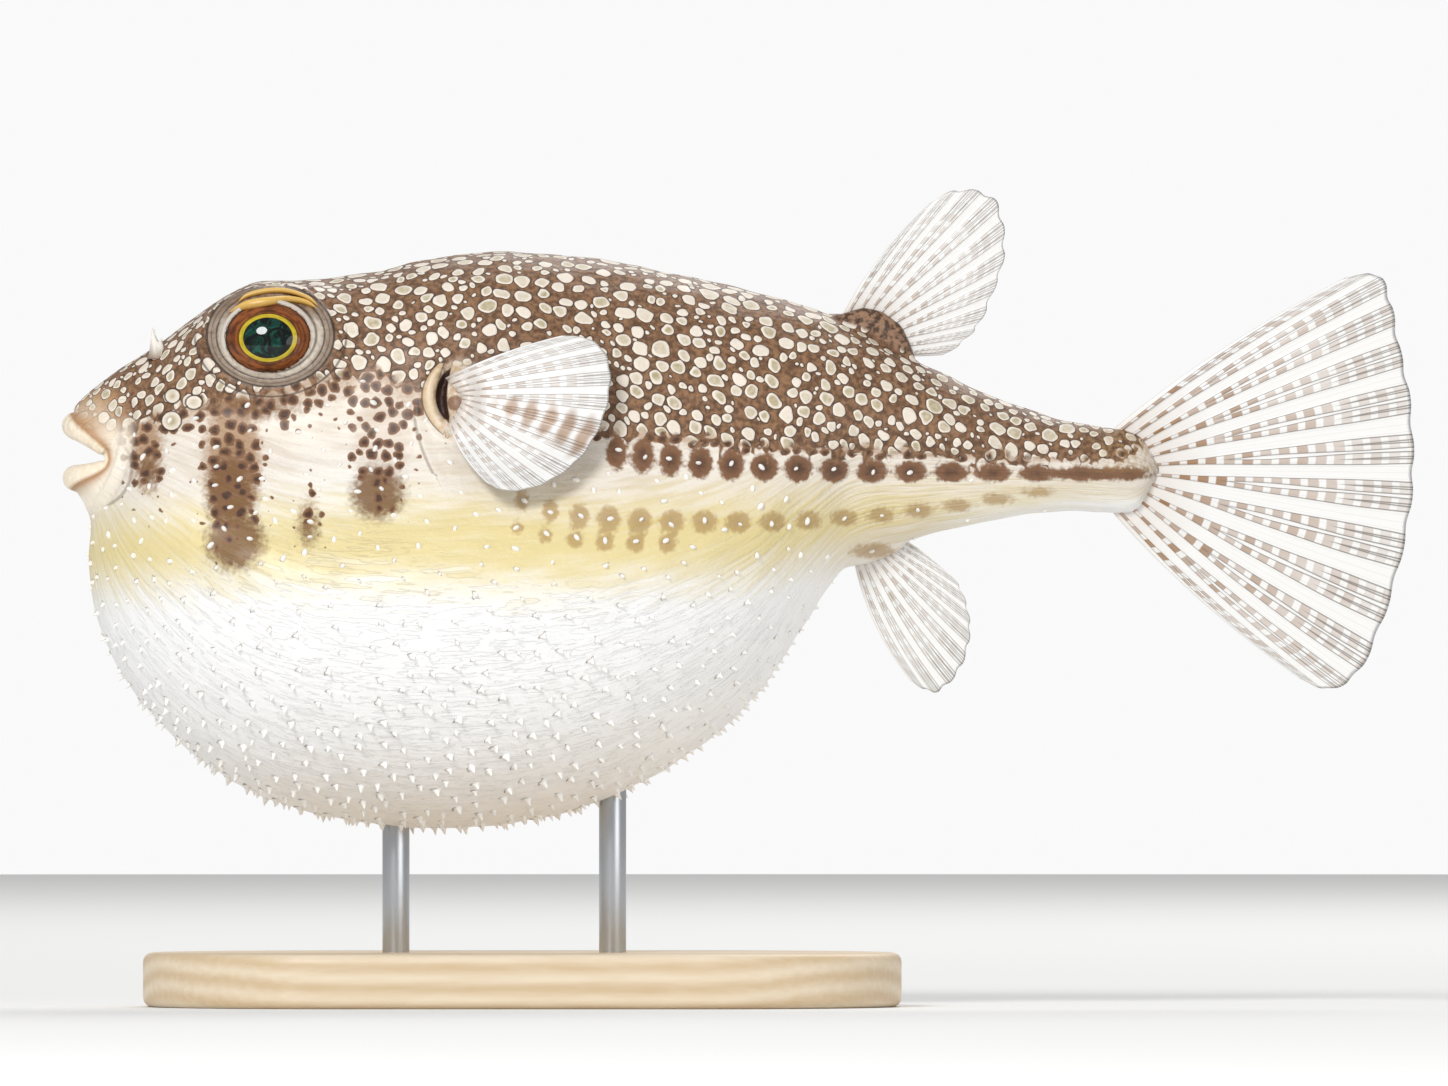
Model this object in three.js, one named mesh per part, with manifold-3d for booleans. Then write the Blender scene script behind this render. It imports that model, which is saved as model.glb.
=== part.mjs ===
// A spotted pufferfish, blown up, as a life-size still model on a plain display stand.
//
// Millimetres, +Z up. The nose points to -X, and the fish's left side faces -Y. The origin lies on
// the floor under the middle of the whole model. Heights on the fish are counted from the lowest
// skin of its belly, which the stand carries LIFT above the floor.

import * as THREE from "three";
import { mergeVertices } from "three/addons/utils/BufferGeometryUtils.js";
import Module from "manifold-3d";

const wasm = await Module();
wasm.setup();

// ------------------------------------------------------------------ driving dimensions

const LIFT = 20; // lowest belly skin above the floor
const GAP = 0.3; // clearance between neighbouring solids
const BELLY_COAT = 0.5; // the prickles make the belly this much fuller
const BACK_COAT = 0.15; // and the back this much
const COAT_FROM = 4; // where the body is narrower than this, its coat thins out
const WELD = 1e-4; // vertices closer than this are one

// How finely each kind of shape is divided, round and then along.
const MESH = { body: [26, 40], egg: [12, 8], throat: [10, 6], eye: [14, 8], lip: [8, 12], teeth: 10, round: 16 };

// Sections of the body from nose to tail. back and keel are [x, z] on the middle line, ribs and sac
// are the half widths of the back and of the blown-up belly, and square is how boxy the back is: 2
// gives an ellipse, and more gives a flatter top with steeper sides.
const SECTIONS = [
  { back: [-72.4, 41.0], keel: [-72.4, 41.0], ribs: 0.0, sac: 0.0, square: 2.2 },
  { back: [-73.9, 46.4], keel: [-73.4, 36.6], ribs: 3.5, sac: 3.4, square: 2.3 },
  { back: [-69.9, 49.7], keel: [-71.8, 33.6], ribs: 5.2, sac: 5.0, square: 2.4 },
  { back: [-65.0, 52.9], keel: [-72.0, 28.8], ribs: 7.0, sac: 8.2, square: 2.6 },
  { back: [-59.5, 56.9], keel: [-70.9, 22.4], ribs: 10.2, sac: 14.6, square: 2.8 },
  { back: [-54.2, 60.0], keel: [-67.4, 15.4], ribs: 12.4, sac: 20.2, square: 3.1 },
  { back: [-48.0, 60.5], keel: [-60.8, 8.3], ribs: 14.2, sac: 24.0, square: 3.0 },
  { back: [-41.0, 61.3], keel: [-51.5, 2.8], ribs: 15.8, sac: 26.3, square: 2.6 },
  { back: [-33.0, 63.0], keel: [-40.0, 0.2], ribs: 17.2, sac: 27.5, square: 2.4 },
  { back: [-25.0, 63.6], keel: [-28.5, 0.0], ribs: 17.8, sac: 27.2, square: 2.3 },
  { back: [-16.5, 62.9], keel: [-17.5, 2.0], ribs: 17.4, sac: 25.4, square: 2.2 },
  { back: [-8.0, 61.4], keel: [-7.0, 7.0], ribs: 16.0, sac: 22.0, square: 2.2 },
  { back: [0.0, 59.6], keel: [1.6, 14.2], ribs: 14.2, sac: 17.4, square: 2.1 },
  { back: [7.5, 57.5], keel: [7.4, 22.6], ribs: 12.2, sac: 12.6, square: 2.0 },
  { back: [13.6, 54.8], keel: [12.2, 29.0], ribs: 10.2, sac: 9.2, square: 2.0 },
  { back: [20.5, 51.1], keel: [19.0, 31.7], ribs: 8.2, sac: 7.2, square: 2.0 },
  { back: [28.0, 47.6], keel: [28.0, 33.8], ribs: 6.0, sac: 5.4, square: 2.0 },
  { back: [35.0, 45.2], keel: [35.0, 34.9], ribs: 4.5, sac: 4.2, square: 2.0 },
  { back: [40.0, 44.3], keel: [40.0, 34.8], ribs: 3.6, sac: 3.5, square: 2.0 },
  { back: [43.4, 44.8], keel: [42.4, 34.0], ribs: 2.6, sac: 2.6, square: 2.0 },
  { back: [46.6, 39.5], keel: [46.6, 39.5], ribs: 0.0, sac: 0.0, square: 2.0 },
];
const SAC_TOP = [0.38, 0.72]; // shares of the height between which belly width turns into rib width
const FLANK = [0.1, 0.9]; // shares of the length between which the body has flanks and a keel

const EYE = { x: -52.0, y: 10.6, z: 54.0, up: 20, forward: 9 }; // its middle, and its turn in degrees
const EYEBALL = [5.3, 3.6, 4.6]; // half sizes along the head, outwards and up
const ORBIT = [6.9, 2.3, 6.0]; // half sizes of the ring of skin round the eye

// The lips are bent sausages that run from corner to corner of the mouth. A lip's middle line starts
// and ends at the corners and reaches forward and up or down in front.
const LIP_BOW = 0.8; // how squarely the lips bend round the front of the mouth
const LIP_TAPER = 0.45; // how bluntly they end at the corners
const UPPER_LIP = { corner: [-68.8, 5.7, 42.2], front: [-73.5, 44.8], thick: [1.35, 1.5], turn: 96 };
const LOWER_LIP = { corner: [-69.6, 5.0, 40.9], front: [-73.6, 38.5], thick: [1.3, 1.4], turn: 88 };
const MOUTH = { middle: [-75.2, 41.3], depth: 5.4, height: 1.9, across: 9, throat: [4.4, 2.9, 2.2] };
const TEETH = { front: -71.3, back: -69.2, across: 2.6, thick: 0.8, turn: 166 };
const UPPER_TEETH = [42.3, 44.3]; // low and high edge
const LOWER_TEETH = [37.9, 39.5];

// Each fin is a fan. root and rim are the [x, z] points that the roots and the tips of its rays
// follow, clockwise as seen from the fish's left. sink is how far the roots run on into the flesh.
const TAIL_FIN = {
  root: [[42.6, 44.6], [45.8, 42.6], [46.4, 39.5], [45.4, 36.2], [42.2, 34.2]],
  rim: [[52.6, 52.8], [60.6, 57.6], [66.6, 60.9], [71.0, 61.0], [73.2, 54.5], [74.4, 48.0], [74.9, 41.0],
    [74.6, 35.0], [73.8, 29.8], [72.4, 24.4], [69.6, 17.6], [65.8, 15.1], [60.2, 17.8], [54.4, 22.4]],
  rays: 13, sink: 2.2, thick: [1.5, 0.6], scallop: 0.35,
};
const DORSAL_FIN = {
  root: [[12.6, 58.2], [16.8, 56.0], [19.1, 52.0]],
  rim: [[17.6, 66.0], [21.2, 69.4], [25.2, 70.7], [28.7, 69.6], [29.6, 65.6], [29.4, 61.8], [28.2, 58.2],
    [26.1, 54.5], [23.0, 52.2]],
  rays: 9, sink: 1.8, thick: [1.4, 0.6], scallop: 0.25,
};
const ANAL_FIN = {
  root: [[18.1, 31.6], [15.8, 30.0], [13.1, 29.4]],
  rim: [[22.6, 28.2], [25.2, 25.2], [25.6, 21.0], [24.3, 16.9], [21.6, 14.7], [18.6, 16.6], [15.9, 20.8]],
  rays: 8, sink: 1.6, thick: [1.3, 0.6], scallop: 0.25,
};
const PECTORAL_FIN = {
  root: [[-31.3, 50.0], [-29.4, 47.0], [-31.4, 43.4]],
  rim: [[-18.6, 54.2], [-15.2, 52.9], [-14.1, 50.3], [-14.7, 46.6], [-16.7, 42.3], [-20.2, 38.8], [-24.3, 37.1],
    [-28.0, 38.4]],
  rays: 12, sink: 1.2, thick: [1.4, 0.6], scallop: 0.2,
};
const FIN_STEPS = 3; // divisions of a fin from root to rim
const SLOT_RAYS = 3; // divisions of the slot for its root
const VALLEY = 0.86; // thickness between two rays as a share of that on a ray
const PECTORAL_OFF = [1.3, 4.5]; // how far the fin's root and its rim stand off the flank

const DORSAL_MOUND = { middle: [14.5, 0, 54.0], half: [5.9, 2.1, 3.3], tilt: 33 };
const ANAL_MOUND = { middle: [15.6, 0, 31.6], half: [4.2, 1.8, 2.0], tilt: -20 };
const PECTORAL_MOUND = { middle: [-30.7, 16.6, 46.9], half: [2.6, 2.3, 4.4], tilt: 0 };
const GILL_SLIT = { middle: [-33.3, 18.0, 47.9], half: [0.8, 2.6, 2.9], tilt: 8 };
const NOSTRIL = { x: -64.2, y: 4.4, z: 51.2, height: 4.0, radius: 0.85, tip: 0.3, sides: 8, lean: 6 };

// Where the whole body is parted: the head from the trunk, the trunk from the tail stem, and the
// belly from both. Each is [x, z] on the cut and the direction, in degrees, that the cut runs in.
const NECK_CUT = { at: [-38.2, 48.0], run: 84 };
const STEM_CUT = { at: [23.6, 42.0], run: 92 };
const BELLY_CUT = { at: [-30.0, 31.3], run: -2.8 };

const BASE = { x: -24, length: 84, width: 46, height: 6, edge: 1 };
const ROD = { places: [-38, -14], radius: 1.5, into: 4, seat: 3 };

// ------------------------------------------------------------------ finishes

const finish = (color, roughness, metalness = 0) =>
  new THREE.MeshStandardMaterial({ color, roughness, metalness });
const FINISHES = {
  spotted_back: finish("#8f6b58", 0.5),
  pale_belly: finish("#f1ede2", 0.5),
  lip: finish("#e8c59c", 0.4),
  tooth: finish("#f2ead2", 0.3),
  eye: finish("#a8642a", 0.1),
  fin: finish("#e9e6de", 0.45),
  base_wood: finish("#d9c4a0", 0.45),
  rod_steel: finish("#b9bcc0", 0.3, 1),
};

// ------------------------------------------------------------------ three.js and manifold-3d

/** A closed three.js geometry as a manifold-3d solid. */
function solid(geometry) {
  const bare = geometry.clone();
  bare.deleteAttribute("normal");
  bare.deleteAttribute("uv");
  const merged = mergeVertices(bare, WELD);
  return new wasm.Manifold(
    new wasm.Mesh({
      numProp: 3,
      vertProperties: merged.attributes.position.array,
      triVerts: new Uint32Array(merged.index.array),
    }),
  );
}

/** A manifold-3d solid as a three.js mesh. */
function meshOf(made, name, material) {
  const { vertProperties, triVerts } = made.getMesh();
  const geometry = new THREE.BufferGeometry();
  geometry.setAttribute("position", new THREE.BufferAttribute(vertProperties, 3));
  geometry.setIndex(new THREE.BufferAttribute(triVerts, 1));
  geometry.computeVertexNormals();
  const mesh = new THREE.Mesh(geometry, material);
  mesh.name = name;
  return mesh;
}

/** A ball whose vertices are moved to the places that their u and v give. */
function wrapped([round, along], place) {
  const ball = new THREE.SphereGeometry(1, round, along);
  const { position, uv } = ball.attributes;
  for (let i = 0; i < position.count; i += 1) position.setXYZ(i, ...place(uv.getX(i), uv.getY(i)));
  return solid(ball);
}

/** A smooth curve through points, as a function of 0 to 1. */
function through(points) {
  const stops = points.map((point) => new THREE.Vector3(...point));
  const curve = new THREE.CatmullRomCurve3(stops, false, "catmullrom", 0.5);
  return (t) => curve.getPoint(t);
}

/** The number between low and high where isBelow stops being true. */
function bisect(low, high, isBelow) {
  if (high - low < WELD) return low;
  const middle = (low + high) / 2;
  return isBelow(middle) ? bisect(middle, high, isBelow) : bisect(low, middle, isBelow);
}

/** A ball squeezed to half sizes, tilted about Y by degrees, and set down at its middle. */
function egg({ middle, half, tilt = 0 }, side = 1, detail = MESH.egg) {
  const geometry = new THREE.SphereGeometry(1, ...detail);
  geometry.scale(...half);
  geometry.rotateY(THREE.MathUtils.degToRad(tilt));
  geometry.translate(middle[0], middle[1] * side, middle[2]);
  return solid(geometry);
}

// ------------------------------------------------------------------ body

const backLine = through(SECTIONS.map(({ back: [x, z] }) => [x, 0, z]));
const keelLine = through(SECTIONS.map(({ keel: [x, z] }) => [x, 0, z]));
const girth = through(SECTIONS.map(({ ribs, sac, square }) => [ribs, sac, square]));

/** A point of the body's outside, at a share of its length and an angle from the middle of the back. */
function bodyPoint(along, angle) {
  const back = backLine(along);
  const keel = keelLine(along);
  const { x: ribs, y: sac, z: square } = girth(along);
  const c = Math.cos(angle);
  const height = (1 + c) / 2;
  const coat = THREE.MathUtils.lerp(BELLY_COAT, BACK_COAT, height) * Math.min(1, ribs / COAT_FROM);
  const upper = THREE.MathUtils.smoothstep(height, ...SAC_TOP);
  const width = Math.max(0, THREE.MathUtils.lerp(sac, ribs, upper)) + coat;
  const power = c > 0 ? square : 2;
  const across = (1 - Math.abs(c) ** power) ** (1 / power);
  const middle = back.clone().add(keel).multiplyScalar(0.5);
  const up = back.clone().sub(keel).multiplyScalar(0.5);
  if (up.length() > WELD) up.setLength(up.length() + coat);
  return [middle.x + up.x * c, Math.sign(Math.sin(angle)) * width * across, middle.z + up.z * c];
}

/** The whole body as one solid, before it is parted. */
function bodyWhole() {
  return wrapped(MESH.body, (u, v) => bodyPoint(1 - v, u * 2 * Math.PI));
}

/** How far out the flank's skin is, at a place seen from the side. */
function flank(x, z) {
  const riseAt = (along) => (z - keelLine(along).z) / (backLine(along).z - keelLine(along).z);
  const isAhead = (along) => THREE.MathUtils.lerp(keelLine(along).x, backLine(along).x, riseAt(along)) < x;
  const along = bisect(...FLANK, isAhead);
  return Math.abs(bodyPoint(along, Math.acos(2 * riseAt(along) - 1))[1]);
}

/** How high the belly's skin is over a place on the keel line, counted from the lowest skin. */
function keelHeight(x) {
  return keelLine(bisect(...FLANK, (along) => keelLine(along).x < x)).z;
}

// ------------------------------------------------------------------ head

/** A ball squeezed to half sizes and set in the eye socket of one side, facing the way the eye looks. */
function inSocket(half, side, grow = 0) {
  const ball = new THREE.SphereGeometry(1, ...MESH.eye);
  ball.rotateX(Math.PI / 2);
  ball.scale(...half.map((h) => h + grow));
  ball.rotateX(THREE.MathUtils.degToRad(EYE.up) * side);
  ball.rotateZ(THREE.MathUtils.degToRad(EYE.forward) * side);
  ball.translate(EYE.x, EYE.y * side, EYE.z);
  return solid(ball);
}

/** A lip as a bent sausage from corner to corner. */
function lip({ corner: [cornerX, across, cornerZ], front: [frontX, frontZ], thick, turn }, grow = 0) {
  return wrapped(MESH.lip, (u, v) => {
    const angle = THREE.MathUtils.degToRad((2 * v - 1) * turn);
    const ahead = Math.max(0, Math.cos(angle)) ** LIP_BOW;
    const taper = Math.sin(Math.PI * v) ** LIP_TAPER;
    const outwards = taper * (thick[0] + grow) * Math.cos(2 * Math.PI * u);
    const upwards = taper * (thick[1] + grow) * Math.sin(2 * Math.PI * u);
    return [
      THREE.MathUtils.lerp(cornerX, frontX, ahead) - outwards * Math.cos(angle),
      (across + outwards) * Math.sin(angle),
      THREE.MathUtils.lerp(cornerZ, frontZ, ahead) + upwards,
    ];
  });
}

/** A row of fused teeth: a wall that follows the jaw's bend. */
function teeth([low, high], grow = 0) {
  const wall = new THREE.BoxGeometry(1, high - low + 2 * grow, TEETH.thick + 2 * grow, MESH.teeth, 1, 1);
  wall.translate(0, (low + high) / 2, 0);
  const { position } = wall.attributes;
  for (let i = 0; i < position.count; i += 1) {
    const angle = THREE.MathUtils.degToRad(position.getX(i) * (TEETH.turn + grow * TEETH.turn));
    const out = -position.getZ(i);
    const ahead = TEETH.front - TEETH.back - out;
    const across = TEETH.across + out;
    position.setXYZ(i, TEETH.back + ahead * Math.cos(angle), across * Math.sin(angle), position.getY(i));
  }
  return solid(wall);
}

/** What the open mouth takes out of the head: the gape between the lips, and the throat behind it. */
function mouthOpening() {
  const [x, z] = MOUTH.middle;
  const gape = egg({ middle: [x, 0, z], half: [MOUTH.depth, MOUTH.across, MOUTH.height] });
  return gape.add(egg({ middle: [x + MOUTH.depth, 0, z], half: MOUTH.throat }, 1, MESH.throat));
}

/** A nostril's flap of skin: a small blunt cone that leans back. */
function nostril(side, grow = 0) {
  const { x, y, z, height, radius, tip, sides, lean } = NOSTRIL;
  const cone = new THREE.CylinderGeometry(tip + grow, radius + grow, height + grow, sides);
  cone.translate(0, (height - grow) / 2, 0);
  cone.rotateX(Math.PI / 2);
  cone.rotateY(THREE.MathUtils.degToRad(lean));
  cone.translate(x, y * side, z);
  return solid(cone);
}

// ------------------------------------------------------------------ fins

/**
 * A fin as a fan of rays: a box whose length runs from ray to ray, whose height runs out along the
 * rays, and whose thickness swells at each ray. lean gives how far a place seen from the side lies
 * out from the fin's middle plane.
 */
function fan({ root, rim, rays, sink, thick, scallop }, lean = () => 0) {
  const rootAt = through(root.map(([x, z]) => [x, 0, z]));
  const rimAt = through(rim.map(([x, z]) => [x, 0, z]));
  const blank = new THREE.BoxGeometry(1, 1, 1, rays * 2, FIN_STEPS, 1);
  const { position } = blank.attributes;
  for (let i = 0; i < position.count; i += 1) {
    const across = position.getX(i) + 0.5;
    const out = position.getY(i) + 0.5;
    const from = rootAt(across);
    const to = rimAt(across);
    const way = to.clone().sub(from).normalize();
    const ridge = Math.abs(Math.cos(Math.PI * rays * across));
    to.addScaledVector(way, (ridge - 1) * scallop);
    from.addScaledVector(way, -sink);
    const place = from.lerp(to, out);
    const swell = THREE.MathUtils.lerp(...thick, out) * THREE.MathUtils.lerp(VALLEY, 1, ridge);
    position.setXYZ(i, place.x, lean(place.x, place.z, out) - position.getZ(i) * swell, place.z);
  }
  return solid(blank);
}

/** The slot in the flesh that a fin's root sits in, with clearance all round. */
function finSlot({ root, rim, sink, thick }, lean) {
  const [[firstX, firstZ], [lastX, lastZ]] = [root[0], root[root.length - 1]];
  const wider = new THREE.Vector2(lastX - firstX, lastZ - firstZ).setLength(GAP);
  const grown = (points) =>
    points.map(([x, z], i) => {
      const shift = (2 * i) / (points.length - 1) - 1;
      return [x + wider.x * shift, z + wider.y * shift];
    });
  const wall = thick[0] / VALLEY + 2 * GAP;
  const shape = { root: grown(root), rim: grown(rim), rays: SLOT_RAYS };
  return fan({ ...shape, sink: sink + GAP, thick: [wall, wall], scallop: 0 }, lean);
}

/** How far out from the middle the pectoral fin of one side lies: it follows the flank's swell. */
function pectoralLean(side) {
  return (x, z, out) => side * (flank(x, z) + THREE.MathUtils.lerp(...PECTORAL_OFF, Math.sqrt(out)));
}

// ------------------------------------------------------------------ stand

/** The stand's flat base: a board with round ends and a small chamfer. */
function standBase() {
  const round = BASE.width / 2 - BASE.edge;
  const straight = BASE.length / 2 - BASE.width / 2;
  const outline = new THREE.Shape();
  outline.absarc(straight, 0, round, -Math.PI / 2, Math.PI / 2);
  outline.absarc(-straight, 0, round, Math.PI / 2, (3 * Math.PI) / 2);
  const board = new THREE.ExtrudeGeometry(outline, {
    depth: BASE.height - 2 * BASE.edge,
    bevelSize: BASE.edge,
    bevelThickness: BASE.edge,
    bevelSegments: 1,
    curveSegments: MESH.round / 2,
  });
  board.translate(BASE.x, 0, BASE.edge);
  return solid(board);
}

/** A rod from its seat in the base up into the belly, with the floor at a given height. */
function rod(x, grow = 0, floor = 0) {
  const low = BASE.height - ROD.seat - grow;
  const high = LIFT + keelHeight(x) + ROD.into + grow;
  const bar = new THREE.CylinderGeometry(ROD.radius + grow, ROD.radius + grow, high - low, MESH.round);
  bar.rotateX(Math.PI / 2);
  bar.translate(x, 0, floor + (low + high) / 2);
  return solid(bar);
}

// ------------------------------------------------------------------ assembly

/** Cuts a solid along a line seen from the side, and gives what is on the line's left and right. */
function parted(made, { at, run }) {
  const turn = THREE.MathUtils.degToRad(run);
  const left = [-Math.sin(turn), 0, Math.cos(turn)];
  const offset = left[0] * at[0] + left[2] * at[1];
  return [
    made.trimByPlane(left, offset + GAP / 2),
    made.trimByPlane(left.map((n) => -n), -offset + GAP / 2),
  ];
}

const sides = [["left", -1], ["right", 1]];
const fish = new THREE.Group();
fish.position.z = LIFT;
const put = (made, name, slot) => fish.add(meshOf(made, name, FINISHES[slot]));

const upperLip = lip(UPPER_LIP);
const lowerLip = lip(LOWER_LIP).subtract(lip(UPPER_LIP, GAP));
const tailFin = fan(TAIL_FIN);
const dorsalFin = fan(DORSAL_FIN);
const analFin = fan(ANAL_FIN);

let body = bodyWhole()
  .add(egg(DORSAL_MOUND))
  .add(egg(ANAL_MOUND));
for (const [, side] of sides) {
  body = body
    .add(inSocket(ORBIT, side))
    .add(egg(PECTORAL_MOUND, side))
    .subtract(egg(GILL_SLIT, side));
}
body = body.subtract(mouthOpening());
const sunken = [
  lip(UPPER_LIP, GAP),
  lip(LOWER_LIP, GAP),
  teeth(UPPER_TEETH, GAP),
  teeth(LOWER_TEETH, GAP),
  finSlot(TAIL_FIN),
  finSlot(DORSAL_FIN),
  finSlot(ANAL_FIN),
];
for (const [, side] of sides) {
  sunken.push(inSocket(EYEBALL, side, GAP), nostril(side, GAP), finSlot(PECTORAL_FIN, pectoralLean(side)));
}
for (const x of ROD.places) sunken.push(rod(x, GAP, -LIFT));
for (const piece of sunken) body = body.subtract(piece);

const [upperBody, belly] = parted(body, BELLY_CUT);
const [head, hindBody] = parted(upperBody, NECK_CUT);
const [trunk, tailStem] = parted(hindBody, STEM_CUT);

put(head, "head", "spotted_back");
put(trunk, "trunk", "spotted_back");
put(tailStem, "tail_stem", "spotted_back");
put(belly, "belly", "pale_belly");
put(upperLip, "upper_lip", "lip");
put(lowerLip, "lower_lip", "lip");
put(teeth(UPPER_TEETH), "upper_teeth", "tooth");
put(teeth(LOWER_TEETH), "lower_teeth", "tooth");
put(tailFin, "tail_fin", "fin");
put(dorsalFin, "dorsal_fin", "fin");
put(analFin, "anal_fin", "fin");
for (const [name, side] of sides) {
  put(inSocket(EYEBALL, side), `eye_${name}`, "eye");
  put(nostril(side), `nostril_${name}`, "spotted_back");
  put(fan(PECTORAL_FIN, pectoralLean(side)), `pectoral_fin_${name}`, "fin");
}

const stand = new THREE.Group();
let board = standBase();
for (const [i, x] of ROD.places.entries()) {
  board = board.subtract(rod(x, GAP));
  stand.add(meshOf(rod(x), `stand_rod_${["front", "rear"][i]}`, FINISHES.rod_steel));
}
stand.add(meshOf(board, "stand_base", FINISHES.base_wood));

const model = new THREE.Group();
model.add(fish, stand);
export default model;
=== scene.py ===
"""The looks of a blown-up spotted pufferfish, life size, on a plain display stand.

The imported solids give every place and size. The fish looks towards -X with its left side towards
-Y, and +Z is up. Sizes in this file are millimetres unless a name says otherwise, and heights on
the fish are counted from the lowest skin of its belly.
"""

import logging
import math
from collections.abc import Callable
from dataclasses import dataclass, field, replace
from enum import Enum
from functools import cached_property, partial

import bmesh
import bpy
import numpy as np
from mathutils import Matrix, Vector
from mathutils.bvhtree import BVHTree


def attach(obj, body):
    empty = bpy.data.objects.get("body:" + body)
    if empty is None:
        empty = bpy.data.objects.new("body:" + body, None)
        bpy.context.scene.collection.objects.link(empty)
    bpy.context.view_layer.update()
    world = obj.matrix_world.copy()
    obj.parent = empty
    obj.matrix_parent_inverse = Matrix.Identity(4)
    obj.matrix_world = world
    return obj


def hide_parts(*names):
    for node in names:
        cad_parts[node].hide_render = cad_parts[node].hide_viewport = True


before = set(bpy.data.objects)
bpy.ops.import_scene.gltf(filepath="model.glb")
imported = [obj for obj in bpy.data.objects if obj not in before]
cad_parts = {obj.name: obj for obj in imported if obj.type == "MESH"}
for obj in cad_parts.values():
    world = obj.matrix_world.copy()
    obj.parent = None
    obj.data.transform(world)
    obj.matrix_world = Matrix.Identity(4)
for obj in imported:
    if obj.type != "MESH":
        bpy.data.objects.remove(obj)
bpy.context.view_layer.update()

MM = 0.001
LIFT = 20.0
LOG = logging.getLogger("pufferfish")
LINEAR = {"interpolation_type": "LINEAR"}
USUAL = {
    "Mix": {"data_type": "RGBA"},
    "MapRange": {"interpolation_type": "SMOOTHSTEP"},
    "TexNoise": {"noise_dimensions": "2D"},
    "TexVoronoi": {"voronoi_dimensions": "2D"},
}
# A distance in millimetres that rules a place out.
FAR = 99.0
# Where each ray of a fin forks: start and end on its reach, and how far its halves part.
FORKS = ((0.08, 0.5, 0.17), (0.42, 0.85, 0.075))

Array = np.ndarray
Spot2 = tuple[float, float]
Spot3 = tuple[float, float, float]


class Side(Enum):
    """The two sides of the fish; the value is the sign of Y."""

    LEFT = -1
    RIGHT = 1


# ---- small tools


def linear(colour: str) -> tuple[float, float, float, float]:
    """Turns an sRGB hex colour into linear light.

    Args:
        colour: the colour as "#rrggbb".

    Returns:
        Red, green, blue and alpha in linear light.
    """
    parts = [int(colour[i : i + 2], 16) / 255 for i in (1, 3, 5)]
    light = [p / 12.92 if p <= 0.04045 else ((p + 0.055) / 1.055) ** 2.4 for p in parts]
    return (light[0], light[1], light[2], 1.0)


def smooth(value: Array, low: float, high: float) -> Array:
    """Rises smoothly from 0 at low to 1 at high, or falls where low is the greater."""
    share = np.clip((value - low) / (high - low), 0.0, 1.0)
    return share * share * (3.0 - 2.0 * share)


def hump(value: Array, middle: float, half: float) -> Array:
    """A round bump of height 1 about a middle."""
    return np.exp(-(((value - middle) / half) ** 2))


def through(points: object, at: Array) -> Array:
    """Follows a smooth curve through evenly timed points.

    Args:
        points: one row for each point of the curve.
        at: shares of the way along, from 0 to 1.

    Returns:
        One row for each share.
    """
    stops = np.asarray(points, float)
    ends = np.vstack([2 * stops[0] - stops[1], stops, 2 * stops[-1] - stops[-2]])
    where = np.clip(at, 0.0, 1.0) * (len(stops) - 1)
    index = np.minimum(where.astype(int), len(stops) - 2)
    step = (where - index)[:, None]
    before, start, end, after = (ends[index + k] for k in range(4))
    bend = 2 * before - 5 * start + 4 * end - after
    twist = -before + 3 * start - 3 * end + after
    return 0.5 * (2 * start + (end - before) * step + bend * step**2 + twist * step**3)


def fill(tree: bpy.types.NodeTree, wanted: list[tuple[bpy.types.NodeSocket, object]]) -> None:
    """Fills sockets of a node tree.

    Args:
        tree: the node tree.
        wanted: each socket with what goes in: a node (its first output), a socket, a colour as
            "#rrggbb" or a plain value.
    """
    for socket, value in wanted:
        if isinstance(value, bpy.types.Node):
            value = next(output for output in value.outputs if output.enabled)
        if isinstance(value, bpy.types.NodeSocket):
            tree.links.new(value, socket)
        else:
            socket.default_value = linear(value) if isinstance(value, str) else value


def add(tree: bpy.types.NodeTree, kind: str, *inputs: object, **settings: object) -> bpy.types.Node:
    """Adds a node with its settings and links.

    Args:
        tree: the node tree that gets it.
        kind: the node's type without "ShaderNode", with its operation after a dot if it has one.
        inputs: what goes into each socket in use, in order, as fill takes it; None leaves a socket
            alone, and a dict goes by the sockets' names.
        settings: the node's own properties, where they aren't the usual ones.

    Returns:
        The new node.
    """
    kind, _, operation = kind.partition(".")
    node = tree.nodes.new("ShaderNode" + kind)
    if operation:
        settings["operation"] = operation
    for name, value in (USUAL.get(kind, {}) | settings).items():
        setattr(node, name, value)
    in_use = [socket for socket in node.inputs if socket.enabled]
    wanted: list[tuple[bpy.types.NodeSocket, object]] = []
    for index, value in enumerate(inputs):
        if isinstance(value, dict):
            wanted += [(node.inputs[name], inner) for name, inner in value.items()]
        elif value is not None:
            wanted.append((in_use[index], value))
    fill(tree, wanted)
    return node


def stand(
    name: str, shape: bmesh.types.BMesh | bpy.types.Mesh, material: bpy.types.Material
) -> bpy.types.Object:
    """Puts a shape into the scene.

    Args:
        name: the object's name.
        shape: its mesh in metres; a bmesh is used up.
        material: its finish.

    Returns:
        The object.
    """
    mesh = shape
    if isinstance(shape, bmesh.types.BMesh):
        mesh = bpy.data.meshes.new(name)
        shape.to_mesh(mesh)
        shape.free()
    mesh.shade_smooth()
    mesh.materials.append(material)
    thing = bpy.data.objects.new(name, mesh)
    bpy.context.scene.collection.objects.link(thing)
    return thing


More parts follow.
